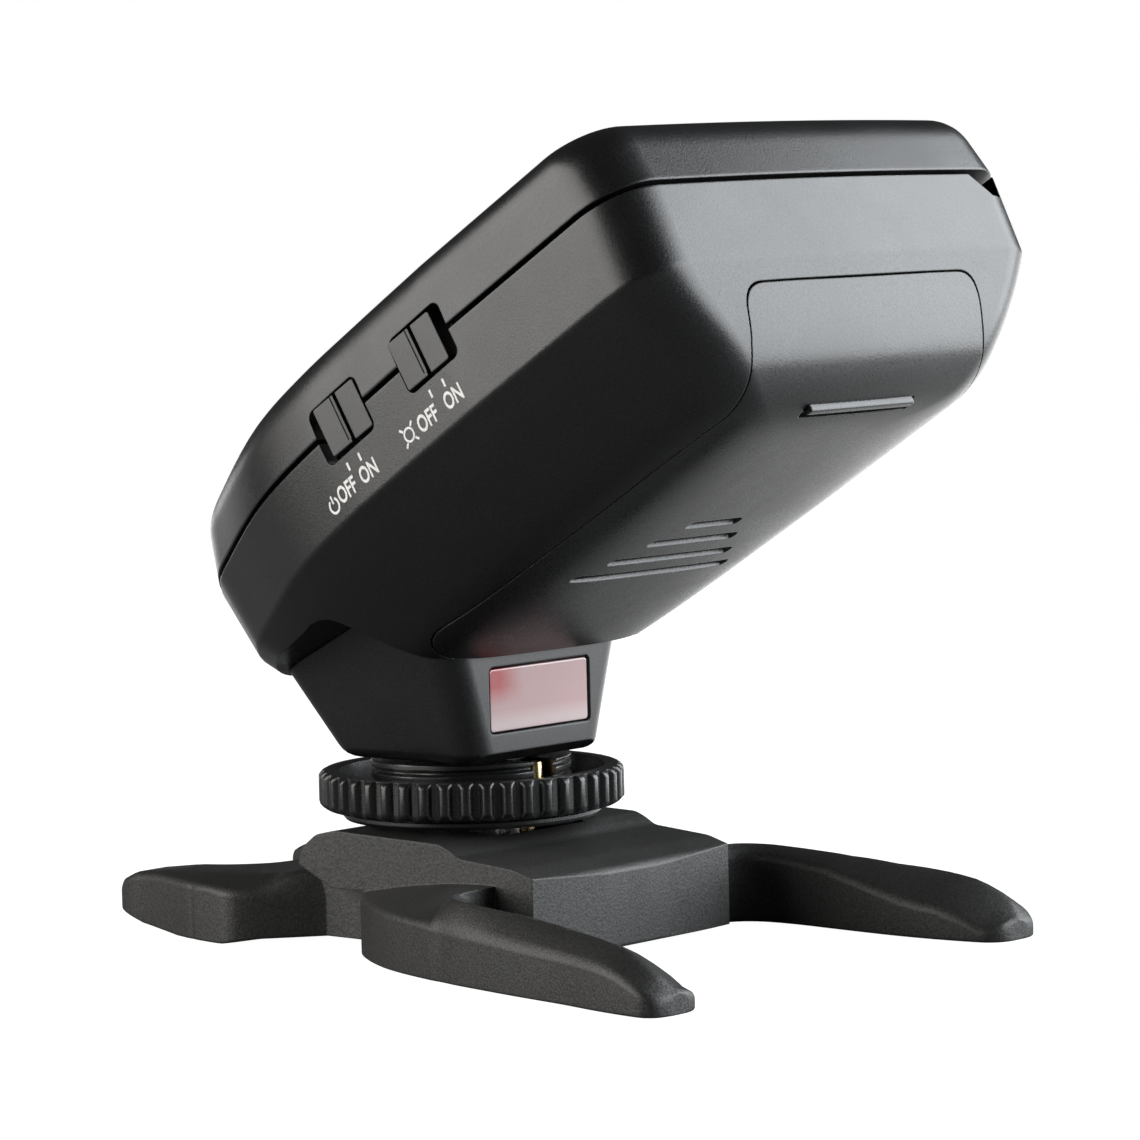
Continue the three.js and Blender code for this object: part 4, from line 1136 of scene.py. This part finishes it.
def stand():
    half_width = 15.2
    block = prism("stand", rounded_corners(BLOCK_SIDE, 0.5, 4), -half_width, half_width, "X")
    across = [-half_width + 2 * half_width * i / 24 for i in range(25)]
    bow = [(x, -22.4 + 0.8 * (x / half_width) ** 2) for x in across]
    plan = [(half_width, 14), (-half_width, 14), *bow]
    bevelled(carve(block, prism("plan", plan, 0, 15), "INTERSECT"), 0.45, 25)
    stop = SLOT["stop"]
    for half, low, high in (
            (SLOT["foot"], SLOT["floor"], SLOT["ceiling"]),
            (SLOT["throat"], SLOT["floor"], 14),
            (SLOT["channel"], SLOT["channel_floor"], SLOT["ceiling"])):
        carve(block, prism("slot", [(-half, stop), (half, stop), (half, 20), (-half, 20)], low, high))
    for side in (-1, 1):
        low, high = sorted((WAIST_HALF * side, 20 * side))
        carve(block, prism("waist", WAIST, low, high, "X"))
    for name, table, *shape in (
            ("front_leg", FRONT_LEG, FRONT_TOP, [(-50, 0), (3, 0)], 0.6, FRONT_CROWN, FRONT_INNER),
            ("rear_foot", REAR_FOOT, REAR_TOP, REAR_UNDER, 0.7, REAR_CROWN)):
        leg = limb(name, table, *shape)
        other = mirrored_x(leg, name + "_other")
        carve(block, leg, "UNION")
        carve(block, other, "UNION")
    carve(block, prism("bore", circle(0, -2, 4.25, 48), -1, 20))
    return finished(block, UPRIGHT, "stand", "stand_plastic", ["stand_body"], angle=28)


stand()


# ---- floor, lights and camera ----
def floor():
    """Pale floor, white to the camera, with a soft glow that rises toward the far right corner."""
    bm = bmesh.new()
    half = 6.0
    corners = ((-half, -half), (half, -half), (half, half), (-half, half))
    bm.faces.new([bm.verts.new((x, y, 0)) for x, y in corners])
    plane = as_object("floor", bm)
    n = Nodes("pale_floor")
    soft = n.noise(3, 2)
    n.feed("Base Color", n.tint(soft, (0.2, 0.2, 0.2), (0.22, 0.22, 0.22)))
    n.feed("Roughness", 0.8)
    n.feed("Emission Color", (1, 1, 1, 1))
    seen = n.add("ShaderNodeLightPath").outputs["Is Camera Ray"]
    axes = n.add("ShaderNodeSeparateXYZ", {"Vector": n.place()})
    across = n.between(axes.outputs["X"], 0.0, 1.0, 0.04, 0.16)
    deep = n.between(axes.outputs["Y"], 0.25, 1.0, -0.12, 0.04)
    bounced = n.between(n.product(across, deep), 0.0, 2.4)
    shown = n.add("ShaderNodeMix", {"Factor": seen, 2: bounced, 3: 0.985}, data_type="FLOAT").outputs[0]
    n.feed("Emission Strength", shown)
    plane.data.materials.append(n.material)


def softbox(name, direction, distance, width, height, radiance, colour):
    """Rectangular light that faces the object from a direction, with a given brightness of its face."""
    light = bpy.data.lights.new(name, "AREA")
    light.shape = "RECTANGLE"
    light.size = width
    light.size_y = height
    light.energy = radiance * math.pi * width * height
    light.color = colour
    obj = bpy.data.objects.new(name, light)
    aim = Vector((0, 0, 0.04))
    toward = Vector(direction).normalized()
    obj.location = aim + toward * distance
    obj.rotation_euler = toward.to_track_quat("Z", "Y").to_euler()
    bpy.context.scene.collection.objects.link(obj)


def world():
    """White backdrop for the camera and a dim room for the light that bounces."""
    made = bpy.data.worlds.new("studio")
    bpy.context.scene.world = made
    made.use_nodes = True
    tree = made.node_tree
    background = tree.nodes["Background"]
    paths = tree.nodes.new("ShaderNodeLightPath")
    strength = tree.nodes.new("ShaderNodeMapRange")
    tree.links.new(paths.outputs["Is Camera Ray"], strength.inputs["Value"])
    strength.inputs["To Min"].default_value = 0.045
    strength.inputs["To Max"].default_value = 1.0
    tree.links.new(strength.outputs["Result"], background.inputs["Strength"])
    background.inputs["Color"].default_value = (1, 1, 1, 1)


def camera():
    """The product view: turned 48.7 degrees to the switch side and 4.6 degrees above the floor."""
    azimuth, elevation, roll = math.radians(-48.733), math.radians(4.642), math.radians(-1.406)
    distance, side, height = 534.406, 9.78, 37.702       # mm from the ring's axis on the floor
    back = Vector((math.sin(azimuth) * math.cos(elevation), -math.cos(azimuth) * math.cos(elevation),
                   math.sin(elevation)))
    right = Vector((math.cos(azimuth), math.sin(azimuth), 0))
    up = back.cross(right)
    rolled_right = right * math.cos(roll) + up * math.sin(roll)
    rolled_up = up * math.cos(roll) - right * math.sin(roll)
    place = (back * distance + rolled_right * side + rolled_up * height) * MM
    data = bpy.data.cameras.new("camera")
    data.lens = 162.81
    data.sensor_width = 36
    obj = bpy.data.objects.new("camera", data)
    turn = Matrix((rolled_right, rolled_up, back)).transposed().to_4x4()
    obj.matrix_world = Matrix.Translation(place + Vector((0, AXIS_Y, 0))) @ turn
    bpy.context.scene.collection.objects.link(obj)
    bpy.context.scene.camera = obj


floor()
softbox("key_softbox", (0.7, -0.635, 0.315), 0.62, 0.8, 0.52, 7.3, (0.93, 0.97, 1))
softbox("side_softbox", (-0.848, 0.53, 0.27), 0.42, 0.48, 0.3, 4.9, (1, 0.985, 0.955))
world()
camera()
bpy.context.scene.view_settings.view_transform = "Standard"
